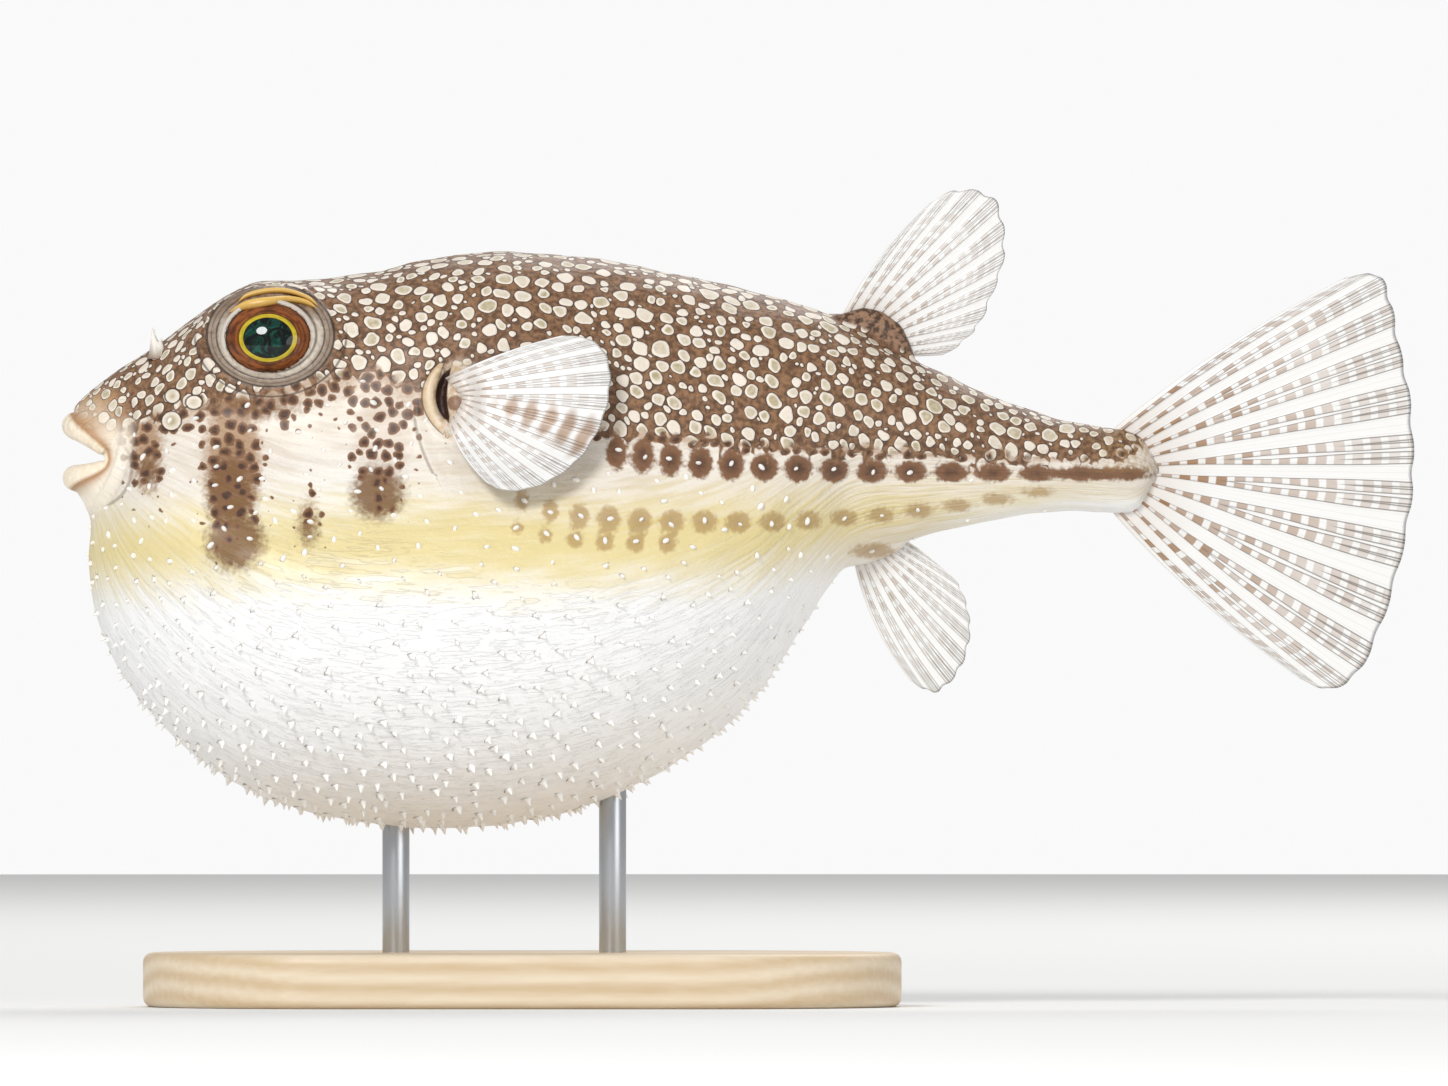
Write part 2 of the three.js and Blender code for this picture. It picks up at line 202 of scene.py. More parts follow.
def place(
    name: str, shape: bmesh.types.BMesh | bpy.types.Mesh, material: bpy.types.Material, slot: str, *nodes: str
) -> None:
    """Makes a finished piece of a shape and hands it to the frame.

    Args:
        name: the piece's name.
        shape: its mesh in metres.
        material: its finish.
        slot: the record's material slot; not used.
        nodes: the solids that it stands for.
    """
    piece = stand(name, shape, material)
    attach(piece, "root")
    if nodes:
        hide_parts(*nodes)
    LOG.info("%s: %d faces", name, len(piece.data.polygons))


def bent_grid(points: Array, values: dict[str, Array], capped: bool = False) -> bmesh.types.BMesh:
    """Bends a flat grid into a closed shape whose edges meet and are merged.

    Args:
        points: where each grid point goes, in millimetres over the floor, as [row, column, xyz].
        values: numbers that each point carries, by attribute name, as [row, column].
        capped: whether open ends are closed with a face.

    Returns:
        The shape in metres, with its flat layout in the UV map OFBake.
    """
    rows, columns = points.shape[0] - 1, points.shape[1] - 1
    shape = bmesh.new()
    shape.loops.layers.uv.new("OFBake")
    bmesh.ops.create_grid(shape, x_segments=rows, y_segments=columns, size=1.0, calc_uvs=True)
    layers = {name: shape.verts.layers.float.new(name) for name in values}
    edge = []
    for vert in shape.verts:
        row = round((vert.co.x + 1) / 2 * rows)
        column = round((vert.co.y + 1) / 2 * columns)
        vert.co = points[row, column] * MM
        for name, layer in layers.items():
            vert[layer] = float(values[name][row, column])
        if row in (0, rows) or column in (0, columns):
            edge.append(vert)
    bmesh.ops.remove_doubles(shape, verts=edge, dist=1e-7)
    bmesh.ops.dissolve_degenerate(shape, edges=shape.edges, dist=1e-8)
    if capped:
        bmesh.ops.holes_fill(shape, edges=[edge for edge in shape.edges if edge.is_boundary], sides=0)
    bmesh.ops.recalc_face_normals(shape, faces=shape.faces)
    return shape


# ---- body


@dataclass(frozen=True)
class Section:
    """One cross-section of the body: places on the middle line, half widths and squareness."""

    back: Spot2
    keel: Spot2
    ribs: float
    sac: float
    square: float
    rings: int


@dataclass
class Body:
    """The plain form of the blown-up body, without folds or coat."""

    sections: tuple[Section, ...] = (
        Section((-72.4, 41.0), (-72.4, 41.0), 0.0, 0.0, 2.2, 14),
        Section((-73.9, 45.7), (-72.7, 36.5), 3.5, 3.4, 2.3, 16),
        Section((-69.9, 49.7), (-71.8, 33.6), 5.2, 5.0, 2.4, 18),
        Section((-65.0, 52.9), (-72.0, 28.8), 7.0, 8.2, 2.6, 20),
        Section((-59.5, 56.9), (-70.9, 22.4), 10.2, 14.6, 2.8, 22),
        Section((-54.2, 60.0), (-67.4, 15.4), 12.4, 20.2, 3.1, 26),
        Section((-48.0, 60.5), (-60.8, 8.3), 14.2, 24.0, 3.0, 22),
        Section((-41.0, 61.3), (-51.5, 2.8), 15.8, 26.3, 2.6, 20),
        Section((-33.0, 63.0), (-40.0, 0.2), 17.2, 27.5, 2.4, 16),
        Section((-25.0, 63.6), (-28.5, 0.0), 17.8, 27.2, 2.3, 13),
        Section((-16.5, 62.9), (-17.5, 2.0), 17.4, 25.4, 2.2, 13),
        Section((-8.0, 61.4), (-7.0, 7.0), 16.0, 22.0, 2.2, 13),
        Section((0.0, 59.6), (1.6, 14.2), 14.2, 17.4, 2.1, 13),
        Section((7.5, 57.5), (7.4, 22.6), 12.2, 12.6, 2.0, 14),
        Section((13.6, 54.8), (12.2, 29.0), 10.2, 9.2, 2.0, 14),
        Section((20.5, 51.1), (19.0, 31.7), 8.2, 7.2, 2.0, 12),
        Section((28.0, 47.6), (28.0, 33.8), 6.0, 5.4, 2.0, 11),
        Section((35.0, 45.2), (35.0, 34.9), 4.5, 4.2, 2.0, 9),
        Section((40.0, 44.3), (40.0, 34.8), 3.6, 3.5, 2.0, 8),
        Section((44.5, 43.1), (43.9, 35.0), 2.3, 2.3, 2.0, 10),
        Section((46.6, 39.5), (46.6, 39.5), 0.0, 0.0, 2.0, 0),
    )
    sac_top: Spot2 = (0.38, 0.72)
    keel_square: float = 2.0
    crowding: float = 1.5
    table_rings: int = 600
    table_turns: int = 361

    def ring(self, along: float) -> Array:
        """Follows one side of a cross-section from the back to the keel.

        Args:
            along: share of the body's length.

        Returns:
            Points on the side of +Y, one row each.
        """
        share = np.array([along])
        back = through([s.back for s in self.sections], share)[0]
        keel = through([s.keel for s in self.sections], share)[0]
        ribs, sac, square = through([(s.ribs, s.sac, s.square) for s in self.sections], share)[0]
        turn = np.linspace(0.0, 1.0, self.table_turns) ** self.crowding * (math.pi / 2)
        turn = np.concatenate([turn, math.pi - turn[-2::-1]])
        level = np.cos(turn)
        upper = smooth((1 + level) / 2, *self.sac_top)
        width = np.maximum(0.0, sac + (ribs - sac) * upper)
        power = np.where(level > 0, square, self.keel_square)
        across = (1 - np.abs(level) ** power).clip(0.0) ** (1 / power)
        middle, up = (back + keel) / 2, (back - keel) / 2
        return np.stack([middle[0] + up[0] * level, width * across, middle[1] + up[1] * level], axis=1)

    def table(self, shares: Array) -> Array:
        """Lays out the body's side on a regular grid.

        Args:
            shares: how far round from the back, as shares of each ring's length.

        Returns:
            Points as [ring, share, xyz], for evenly spaced rings.
        """
        rows = []
        for along in np.linspace(0.0, 1.0, self.table_rings):
            ring = self.ring(along)
            walked = np.concatenate([[0.0], np.cumsum(np.linalg.norm(np.diff(ring, axis=0), axis=1))])
            rows.append([np.interp(shares * walked[-1], walked, ring[:, k]) for k in range(3)])
        return np.array(rows).transpose(0, 2, 1)


# ---- markings


@dataclass(frozen=True)
class Patch:
    """An oval mark, as it is seen from the side."""

    x: float
    z: float
    wide: float
    tall: float

    def depth(self, x: Array, z: Array) -> Array:
        """How far inside the mark each place is, in millimetres; outside it is negative."""
        off = np.hypot((x - self.x) / self.wide, (z - self.z) / self.tall)
        return (1.0 - off) * min(self.wide, self.tall)


@dataclass
class Markings:
    """Where each colour lies on the skin. Every field is a depth in millimetres, negative outside."""

    net_edge: tuple[Spot2, ...] = (
        (-75.0, 43.6), (-69.0, 43.6), (-64.0, 45.6), (-58.0, 47.4), (-52.0, 48.0), (-46.0, 49.6),
        (-40.0, 50.6), (-34.0, 47.5), (-26.0, 44.4), (-15.0, 43.6), (0.0, 42.2), (30.0, 40.8),
        (39.0, 40.8), (43.5, 41.8), (47.0, 44.0),
    )
    fringe_deep: tuple[Spot2, ...] = (
        (-75.0, 1.5), (-66.0, 3.4), (-58.0, 6.0), (-36.0, 6.4), (-28.0, 2.4), (-15.0, 1.2), (47.0, 1.2),
    )
    band_middle: tuple[Spot2, ...] = (
        (-75.0, 30.0), (-60.0, 31.0), (-40.0, 31.6), (-20.0, 31.0), (0.0, 32.0), (20.0, 35.2), (36.0, 36.6),
    )
    band_half: tuple[Spot2, ...] = (
        (-75.0, 4.0), (-40.0, 5.0), (0.0, 4.6), (20.0, 1.8), (36.0, -0.2), (46.0, -1.6),
    )
    streak: Patch = Patch(39.0, 39.0, 7.6, 0.8)
    dark: Patch = Patch(-13.5, 39.0, 1.25, 2.15)
    dark_grows: Spot2 = (0.075, -0.095)
    dark_steps: Spot2 = (2.9, 5.2)
    dark_count: int = 15
    ochre: Patch = Patch(-23.9, 33.6, 1.3, 1.9)
    ochre_grows: Spot2 = (0.05, -0.08)
    ochre_steps: Spot2 = (3.1, 4.6)
    ochre_count: int = 16
    faint: Patch = Patch(-0.5, 31.2, 1.2, 1.2)
    faint_count: int = 6
    front_rise: float = 2.4
    anal_root: Patch = Patch(14.9, 30.5, 3.0, 1.0)
    bars: tuple[Patch, ...] = (
        Patch(-65.4, 42.2, 2.2, 5.4),
        Patch(-55.9, 40.5, 3.6, 8.6),
        Patch(-39.4, 42.5, 3.5, 7.0),
        Patch(-56.0, 46.6, 4.4, 2.4),
        Patch(-47.4, 34.6, 1.2, 2.2),
    )
    smudges: tuple[Patch, ...] = (
        Patch(-55.5, 31.6, 3.7, 3.6),
        Patch(-56.0, 37.0, 3.1, 5.6),
        Patch(-47.4, 33.0, 1.5, 2.3),
        Patch(-39.8, 36.9, 3.3, 3.5),
        Patch(-65.2, 39.4, 1.6, 2.6),
        Patch(-54.0, 46.4, 5.6, 1.6),
    )
    pearls: tuple[Patch, ...] = (
        Patch(-62.7, 44.85, 1.15, 1.1),
        Patch(-62.6, 47.6, 0.9, 0.85),
        Patch(-60.2, 46.9, 1.0, 0.8),
    )

    def dark_row(self) -> list[Patch]:
        """Sets out the dark brown blotches along the flank, which climb at the front.

        Returns:
            The streak on the tail stem, then the row from the front.
        """
        first, (wider, lower) = self.dark, self.dark_grows
        steps = np.linspace(*self.dark_steps, self.dark_count - 1)
        row = [self.streak]
        for k, x in enumerate(first.x + np.concatenate([[0.0], np.cumsum(steps)])):
            level = first.z + self.front_rise * math.exp(-(x - first.x) / 14)
            row.append(Patch(x, level, first.wide + wider * k, first.tall + lower * k))
        return row

    def ochre_rows(self) -> list[Patch]:
        """Sets out the ochre blotches on the yellow band, and a fainter row below its front.

        Returns:
            The blotches of both rows, and the one at the root of the anal fin.
        """
        first, faint, (wider, lower) = self.ochre, self.faint, self.ochre_grows
        row = []
        x = first.x
        for k, step in enumerate(np.linspace(*self.ochre_steps, self.ochre_count)):
            front = math.exp(-(x - first.x) / 5)
            grown = min(1.0, 0.7 + 0.1 * k)
            level = first.z + 0.0028 * max(x + 2, 0.0) ** 2 + self.front_rise * front
            row.append(Patch(x, level, (first.wide + wider * k) * grown, (first.tall + lower * k) * grown))
            if k < self.faint_count:
                row.append(Patch(x + faint.x, faint.z + 1.8 * front, faint.wide * grown, faint.tall * grown))
            x += step
        return row + [self.anal_root]

    def fields(self, x: Array, z: Array) -> dict[str, Array]:
        """Works out the marks that are seen from the side.

        Args:
            x: places along the fish.
            z: heights.

        Returns:
            The depth in each kind of mark, by attribute name.
        """
        kinds = {"blotch": self.dark_row(), "ochre": self.ochre_rows()}
        kinds |= {"bars": self.bars, "smudge": self.smudges, "pearl": self.pearls}
        marks = {
            kind: np.max([patch.depth(x, z) for patch in patches], axis=0) for kind, patches in kinds.items()
        }
        marks["net"] = z - np.interp(x, *np.array(self.net_edge).T)
        marks["fringe"] = 1 + marks["net"] / np.interp(x, *np.array(self.fringe_deep).T)
        middle = np.interp(x, *np.array(self.band_middle).T)
        marks["band"] = np.interp(x, *np.array(self.band_half).T) - np.abs(z - middle)
        return marks


# ---- head


@dataclass
class Eye:
    """Where the eyes sit. wide and tall are the half sizes of the part that shows."""

    x: float = -52.0
    y: float = 10.6
    z: float = 54.0
    up: float = 20.0
    forward: float = 9.0
    ball: Spot3 = (5.3, 3.6, 4.6)
    wide: float = 4.75
    tall: float = 3.9
    socket: tuple[float, float, float, float] = (0.25, 0.3, 7.05, 5.7)

    def around(self, x: Array, z: Array) -> Array:
        """How far places are from the middle of the eye socket; 1 is the rim of its bare skin."""
        shift_x, shift_z, wide, tall = self.socket
        return np.hypot((x - self.x - shift_x) / wide, (z - self.z - shift_z) / tall)

    def off(self, x: Array, z: Array) -> Array:
        """How far places are from the eye's middle as seen from the side; 1 is the iris rim."""
        return np.hypot((x - self.x) / self.wide, (z - self.z) / self.tall)

    def turn(self, side: Side) -> Matrix:
        """The eyeball's turn on one side."""
        about_z = Matrix.Rotation(math.radians(self.forward) * side.value, 3, "Z")
        return about_z @ Matrix.Rotation(math.radians(self.up) * side.value, 3, "X")

    def front(self, x: Array, z: Array) -> Array:
        """How far out the right eyeball's surface is, or its outline where it has no surface.

        Args:
            x: places along the fish.
            z: heights.

        Returns:
            The distance from the middle plane.
        """
        turn = np.array(self.turn(Side.RIGHT))
        form = turn @ np.diag([1 / size**2 for size in self.ball]) @ turn.T
        dx, dz = x - self.x, z - self.z
        first = form[1, 1]
        second = 2 * (form[0, 1] * dx + form[1, 2] * dz)
        third = form[0, 0] * dx**2 + form[2, 2] * dz**2 + 2 * form[0, 2] * dx * dz - 1
        return self.y + (-second + np.sqrt((second**2 - 4 * first * third).clip(0.0))) / (2 * first)

    def build(self, side: Side, material: bpy.types.Material) -> None:
        """Makes one eyeball.

        Args:
            side: which eye it is.
            material: its finish.
        """
        shape = bmesh.new()
        bmesh.ops.create_uvsphere(shape, u_segments=64, v_segments=48, radius=1.0)
        stretch = Matrix.Diagonal(self.ball)
        for change in (Matrix.Rotation(math.pi / 2, 3, "X"), stretch, self.turn(side)):
            bmesh.ops.transform(shape, verts=shape.verts, matrix=change.to_4x4())
        layers = [shape.verts.layers.float.new(name) for name in ("off", "spoke", "across", "upward")]
        for vert in shape.verts:
            across, up = vert.co.x / self.wide, vert.co.z / self.tall
            marks = (math.hypot(across, up), abs(math.atan2(up, across)), across, up)
            for layer, mark in zip(layers, marks):
                vert[layer] = mark
            vert.co = (vert.co + Vector((self.x, self.y * side.value, self.z + LIFT))) * MM
        name = f"eye_{side.name.lower()}"
        place(name + "_ball", shape, material, "eye", name)


@dataclass
class Mouth:
    """The lips, as a ring that bends back to the corners of the mouth."""

    front: Spot3 = (-73.5, 44.35, 38.55)
    corner: Spot3 = (-69.5, 5.2, 41.5)
    upper: Spot2 = (1.5, 1.25)
    lower: Spot2 = (1.42, 0.75)
    bow: float = 0.7
    throat: Spot3 = (-66.0, 0.0, 41.3)
    inner_rings: int = 6
    lip_rings: int = 20
    lip_from: float = -140.0
    lip_turn: float = 216.0
    groove: float = 0.22
    face_top: float = 0.056
    face_side: float = 0.088

    def lip_line(self, share: Array) -> tuple[Array, Array]:
        """Follows the middle of the lips from the top to the bottom.

        Args:
            share: how far round from the top, 0 to 1.

        Returns:
            The middle line's points, and the lips' half thickness there.
        """
        turn = np.pi * share
        level = np.cos(turn)
        reach = np.abs(level)
        front_x, top, bottom = self.front
        corner_x, corner_y, corner_z = self.corner
        above = level > 0
        rise = np.where(above, (top - corner_z) * reach**self.bow, (bottom - corner_z) * reach**0.3)
        ahead = np.where(above, reach**0.95, reach**1.35)
        spread = np.sin(turn) ** 0.85
        thick = np.where(
            above,
            self.upper[1] + (self.upper[0] - self.upper[1]) * reach,
            self.lower[1] + (self.lower[0] - self.lower[1]) * reach**0.5,
        )
        thick = thick - 0.25 * hump(share, 0.5, 0.03)
        line = np.stack([corner_x + (front_x - corner_x) * ahead, corner_y * spread, corner_z + rise], axis=1)
        return line, thick

    def rings(self, share: Array, face: Array) -> tuple[Array, dict[str, Array]]:
        """Builds the rings of skin from the throat over the lips to the face.

        Args:
            share: how far round from the top, for each column.
            face: the ring of the face that the lips run into, one point for each column.

        Returns:
            The points as [ring, column, xyz], and the lip, crease and inside fields.
        """
        line, thick = self.lip_line(share)
        way = np.gradient(line, axis=0)
        way /= np.linalg.norm(way, axis=1)[:, None]
        outward = line - np.array([self.corner[0], 0.0, self.corner[2]])
        outward[:, 0] = 0.0
        outward -= way * np.sum(outward * way, axis=1)[:, None]
        outward /= np.linalg.norm(outward, axis=1)[:, None]
        forward = np.cross(way, outward)
        forward *= -np.sign(forward[:, :1])
        deep = np.array(self.throat)
        rings: list[tuple[Array, float, float, float]] = []
        back = line - outward * thick[:, None] * 0.75 - forward * thick[:, None] * 1.3
        for k in range(self.inner_rings):
            points = deep + (back - deep) * (k / self.inner_rings) ** 0.7
            # Painted shade: the inside field is strongest down the throat and fades out over the lip.
            rings.append((points, 0.0, 0.0, 1.0 - 0.1 * k))
        for k in range(self.lip_rings):
            over = k / (self.lip_rings - 1)
            turn = math.radians(self.lip_from + self.lip_turn * over)
            reach = thick[:, None] * (math.cos(turn) * forward + math.sin(turn) * outward)
            # Painted shade: the crease field darkens the lip where it rolls into the mouth and into the
            # groove at the face.
            crease = max(0.0, 0.4 - 5 * over) + max(0.0, 1.2 - 14 * (1 - over))
            rings.append((line + reach, 1.0, crease, max(0.0, 0.5 - 4 * over)))
        last = rings[-1][0]
        for near in (0.3, 0.65):
            fall = (forward + outward) * self.groove * (1 - near)
            rings.append((last * (1 - near) + face * near - fall, 0.9 - near, 1.0 - 1.5 * near, 0.0))
        rows, *marks = zip(*rings)
        flat = np.ones(len(share))
        fields = {name: np.outer(mark, flat) for name, mark in zip(("lip", "crease", "inside"), marks)}
        return np.array(rows), fields


# ---- skin


@dataclass
class Skin:
    """The one skin of the fish, from throat to tail, with its folds and marks."""

    body: Body
    eye: Eye
    mouth: Mouth
    markings: Markings
    columns: int = 118
    fine_share: float = 0.3
    fine_columns: float = 0.5
    growth: float = 0.66
    slit_middle: Spot2 = (-33.2, 47.6)
    slit_bend: float = 0.10
    shoulder: Patch = Patch(-30.7, 46.9, 3.0, 5.0)
    mole: Patch = Patch(-31.3, 46.8, 0.95, 0.95)
    lobe_ridge: tuple[Spot2, ...] = (
        (9.6, 0.0), (11.0, 0.8), (12.6, 2.4), (14.5, 2.9), (16.7, 2.6), (18.4, 1.2), (19.6, 0.0),
    )
    vent_ridge: tuple[Spot2, ...] = ((11.6, 0.0), (13.4, 0.9), (15.6, 1.2), (17.4, 0.9), (18.8, 0.0))
    wrinkle_pitch: float = 0.0125
    spot_fineness: tuple[Spot2, ...] = (
        (-72.0, 1.3), (-58.0, 1.08), (-40.0, 1.0), (0.0, 1.0), (20.0, 1.2), (40.0, 1.35),
    )
    back_slope: tuple[Spot2, ...] = (
        (-74.0, 38.0), (-60.0, 30.0), (-28.0, 2.0), (16.0, -21.0), (45.0, -12.0),
    )
    points: Array = field(init=False)
    outward: Array = field(init=False)
    values: dict[str, Array] = field(init=False)
    tree: BVHTree = field(init=False)

    def shares(self) -> Array:
        """Spaces the columns of one side, closest down to the eye's level.

        Returns:
            How far round from the back each one is.
        """
        fine = int(self.columns * self.fine_columns)
        upper = np.linspace(0.0, self.fine_share, fine, endpoint=False)
        rest = np.linspace(0.0, 1.0, self.columns + 1 - fine)
        grown = self.growth * rest + (1 - self.growth) * rest**2
        lower = self.fine_share + (1 - self.fine_share) * grown
        return np.concatenate([upper, lower])

    def ring_shares(self) -> Array:
        """Spaces the rings of the body, before the face's edge moves the first ones.

        Returns:
            How far along each one is.
        """
        stops = [0.0]
        spans = len(self.body.sections) - 1
        for k, section in enumerate(self.body.sections[:-1]):
            stops += [(k + (n + 1) / section.rings) / spans for n in range(section.rings)]
        return np.array(stops)

    def half(self) -> tuple[Array, dict[str, Array]]:
        """Lays out the right half of the skin.

        Returns:
            The points as [row, column, xyz], and the along, around, lip, crease and inside fields.
        """
        share = self.shares()
        table = self.body.table(share)
        steps = np.linspace(0.0, 1.0, len(table))
        first = self.mouth.face_top
        edge = first + self.mouth.face_side * np.sin(np.pi * share) ** 1.4
        rings = self.ring_shares()
        rings = rings[rings > first]
        rings = (np.concatenate([[first], rings]) - first) / (1 - first)
        along = edge[None, :] + (1 - edge[None, :]) * rings[:, None]
        points = np.zeros(along.shape + (3,))
        for column in range(len(share)):
            for axis in range(3):
                points[:, column, axis] = np.interp(along[:, column], steps, table[:, column, axis])
        lip_points, fields = self.mouth.rings(share, points[0])
        fields = {name: np.concatenate([value, np.zeros(along.shape)]) for name, value in fields.items()}
        fields["away"] = np.concatenate([np.zeros(lip_points.shape[:2]), along - edge[None, :]])
        points = np.concatenate([lip_points, points])
        points[:, (0, -1), 1] = 0.0
        fields["around"] = np.repeat(share[None, :], len(points), axis=0)
        return points, fields

    def normals(self, points: Array) -> Array:
        """The outward direction at each point of a laid-out half."""
        out = np.cross(np.gradient(points, axis=0), np.gradient(points, axis=1))
        return out / np.maximum(np.linalg.norm(out, axis=2, keepdims=True), 1e-9)

    def lobe(self, x: Array, y: Array) -> Array:
        """The height of the fleshy lobe under the dorsal fin."""
        return np.interp(x, *np.array(self.lobe_ridge).T) * np.exp(-((y / 1.5) ** 4))

    def behind_slit(self, x: Array, z: Array) -> Array:
        """How far behind the middle of the curved gill slit each place is."""
        slit_x, slit_z = self.slit_middle
        return x - (slit_x + self.slit_bend * (z - slit_z) ** 2)

    def gill_fold(self, x: Array, z: Array) -> Array:
        """How far behind the loose fold of skin that hangs below the gill flap each place is."""
        return x + 35.9 - 0.034 * (47.0 - z) ** 2

    def fold_lines(self, x: Array, z: Array) -> Array:
        """Measures how far places are from the gill's fold or the one behind the mouth.

        Args:
            x: places along the fish.
            z: heights.

        Returns:
            The distances, negative on one side and stretched past the ends of the folds.
        """
        gill = self.gill_fold(x, z) * (1.0 + 30.0 * smooth(np.abs(z - 42.0), 3.0, 6.0))
        jaw = (np.hypot(x + 71.3, z - 39.5) - 4.2) * (1.0 + 30.0 * smooth(x, -69.5, -71.5))
        return np.where(x < -60.0, jaw, gill)

    def folds(self, points: Array, plain: dict[str, Array]) -> Array:
        """How far the skin stands out from the plain form at each point.

        Args:
            points: the plain half.
            plain: its fields.

        Returns:
            The height of folds, mounds and hollows, in millimetres.
        """
        x, y, z = points[..., 0], points[..., 1], points[..., 2]
        around, away = plain["around"], plain["away"]
        off, socket = self.eye.off(x, z), self.eye.around(x, z)
        sideways, flank = smooth(y, 5.0, 8.0), smooth(y, 6.0, 8.0)
        # The bulge that carries the eye, with ring folds round it and more of them below and in front.
        height = 1.1 * np.exp(-((off / 1.8) ** 4)) * sideways
        height += (0.35 * hump(socket, 0.92, 0.06) - 0.15 * hump(socket, 0.84, 0.03)) * sideways
        height -= 0.25 * hump(socket, 1.01, 0.035) * sideways
        low, front = smooth(self.eye.z - z, -1.0, 2.0), smooth(self.eye.x - x, -2.0, 3.0)
        height += (0.30 * hump(socket, 1.1, 0.06) - 0.2 * hump(socket, 1.19, 0.04)) * sideways * low
        height += 0.26 * hump(socket, 1.27, 0.05) * sideways * front
        # The root of the pectoral fin, the gill slit, its flap and the loose fold below.
        height += 1.7 * smooth(self.shoulder.depth(x, z), 0.0, 2.2) * flank
        slit, level = self.behind_slit(x, z), z - self.slit_middle[1]
        height -= 1.7 * hump(slit, 0.35, 0.5) * smooth(np.abs(level), 3.2, 2.0) * flank
        height += 0.7 * hump(slit, -0.9, 0.6) * smooth(np.abs(level + 0.7), 4.4, 2.6) * flank
        height += 0.3 * hump(self.gill_fold(x, z), 0.35, 0.4) * smooth(np.abs(z - 42.4), 6.0, 3.0) * flank
        # The lobe on the back, and the vent on the keel.
        height += self.lobe(x, y) * (around < 0.3)
        vent = np.interp(x, *np.array(self.vent_ridge).T)
        height += vent * np.exp(-((y / 1.3) ** 4)) * (around > 0.8)
        # Wrinkles behind the mouth, and faint dents all over.
        side = np.sin(np.pi * around) ** 2
        height += 0.34 * np.sin(away / self.wrinkle_pitch * np.pi) * smooth(away, 0.055, 0.008) * side
        rough = np.sin(x * 0.9 + z * 0.5) * np.sin(z * 0.8 - x * 0.3) + 0.6 * np.sin(x * 0.37 - z * 0.9 + y)
        height += 0.08 * rough * smooth(x, -66.0, -60.0) * smooth(off, 1.3, 1.8)
        return height * (away > 0)

    def lay(self, points: Array) -> tuple[Array, Array]:
        """Unrolls a half with as little stretch as it can, so that spots stay round.

        Args:
            points: the plain half.

        Returns:
            How far each point is along the fish and round it, finer where the spots are small.
        """
        ridge = points[:, 0]
        fine = np.interp(ridge[:, 0], *np.array(self.spot_fineness).T)
        slope = np.radians(np.interp(ridge[:, 0], *np.array(self.back_slope).T))
        way = np.stack([np.cos(slope), np.zeros_like(slope), np.sin(slope)], axis=1)
        along = np.sum(np.diff(ridge, axis=0) * way[1:], axis=1) * fine[1:]
        along = np.concatenate([[0.0], np.cumsum(along)])
        step = np.diff(points, axis=1)
        ahead = np.sum(step * way[:, None], axis=2)
        aside = np.sqrt((np.sum(step**2, axis=2) - ahead**2).clip(0.0))
        start = np.zeros((len(points), 1))
        ahead = np.cumsum(np.concatenate([start, ahead], axis=1), axis=1) * fine[:, None]
        aside = np.cumsum(np.concatenate([start, aside], axis=1), axis=1) * fine[:, None]
        return along[:, None] + ahead, aside

    def fit_eye(self, points: Array) -> Array:
        """Brings the skin up to the rim of the eyeball and tucks it in behind.

        Args:
            points: the folded half.

        Returns:
            The same points, moved across the fish only.
        """
        x, y, z = points[..., 0], points[..., 1], points[..., 2]
        off = self.eye.off(x, z)
        ball = self.eye.front(x, z)
        near = (off < 1.7) & (y > 4.0)
        rim = np.maximum(y, ball + 0.22)
        share = smooth(off, 1.65, 1.2)
        behind = smooth(off, 1.0, 0.93)
        fitted = y + (rim - y) * share
        fitted = fitted + (ball - 1.6 - fitted) * behind
        moved = points.copy()
        moved[..., 1] = np.where(near, fitted, y)
        return moved

    def build(self, material: bpy.types.Material, nodes: tuple[str, ...]) -> None:
        """Makes the skin, and keeps its layout for the pieces that grow on it.

        Args:
            material: its finish.
            nodes: the solids that it stands for.
        """
        plain_points, plain = self.half()
        height = self.folds(plain_points, plain)
        points = self.fit_eye(plain_points + self.normals(plain_points) * height[..., None])
        x, y, z = points[..., 0], points[..., 1], points[..., 2]
        values = self.markings.fields(x, z)
        values |= {name: plain[name] for name in ("lip", "crease", "inside", "around")}
        values["orbit"] = self.eye.around(x, z) + 0.8 * smooth(y, 8.2, 6.8)
        values["over"] = (z - self.eye.z) / self.eye.tall / np.maximum(self.eye.off(x, z), 0.1)
        values["muzzle"] = smooth(plain["away"], 0.034, 0.0)
        values["level"], values["length"] = z, x
        values["lay_u"], values["lay_v"] = self.lay(plain_points)
        slit, level = self.behind_slit(x, z), z - self.slit_middle[1]
        aside = np.where(y > 7, 0.0, 9.0)
        for name, tall, wide, middle in (("slit", 3.0, 0.66, 0.35), ("flap", 4.3, 0.85, -0.95)):
            share = (level + 0.35 * (tall - 3.0)) / tall
            values[name] = wide * np.sqrt((1 - share**2).clip(0.0)) - np.abs(slit - middle) - aside
        values["shoulder"] = self.shoulder.depth(x, z) - aside
        values["mole"] = self.mole.depth(x, z) - aside
        values["fold"] = self.fold_lines(x, z)
        values["lobe"] = self.lobe(x, y) * (plain["around"] < 0.3)
        self.values = {name: self.mirrored(value) for name, value in values.items()}
        self.values["lay_v"][:, : x.shape[1] - 1] *= -1
        self.points = self.mirrored(points) + np.array([0.0, 0.0, LIFT])
        self.outward = self.mirrored(self.normals(points))
        shape = bent_grid(self.points, self.values)
        self.tree = BVHTree.FromBMesh(shape)
        place("skin", shape, material, "spotted_back", *nodes)

    def mirrored(self, half: Array) -> Array:
        """Joins a half to its mirror image; it holds numbers, or points as [row, column, xyz]."""
        flip = np.array([1.0, -1.0, 1.0]) if half.ndim == 3 else 1.0
        return np.concatenate([half[:, :0:-1] * flip, half], axis=1)

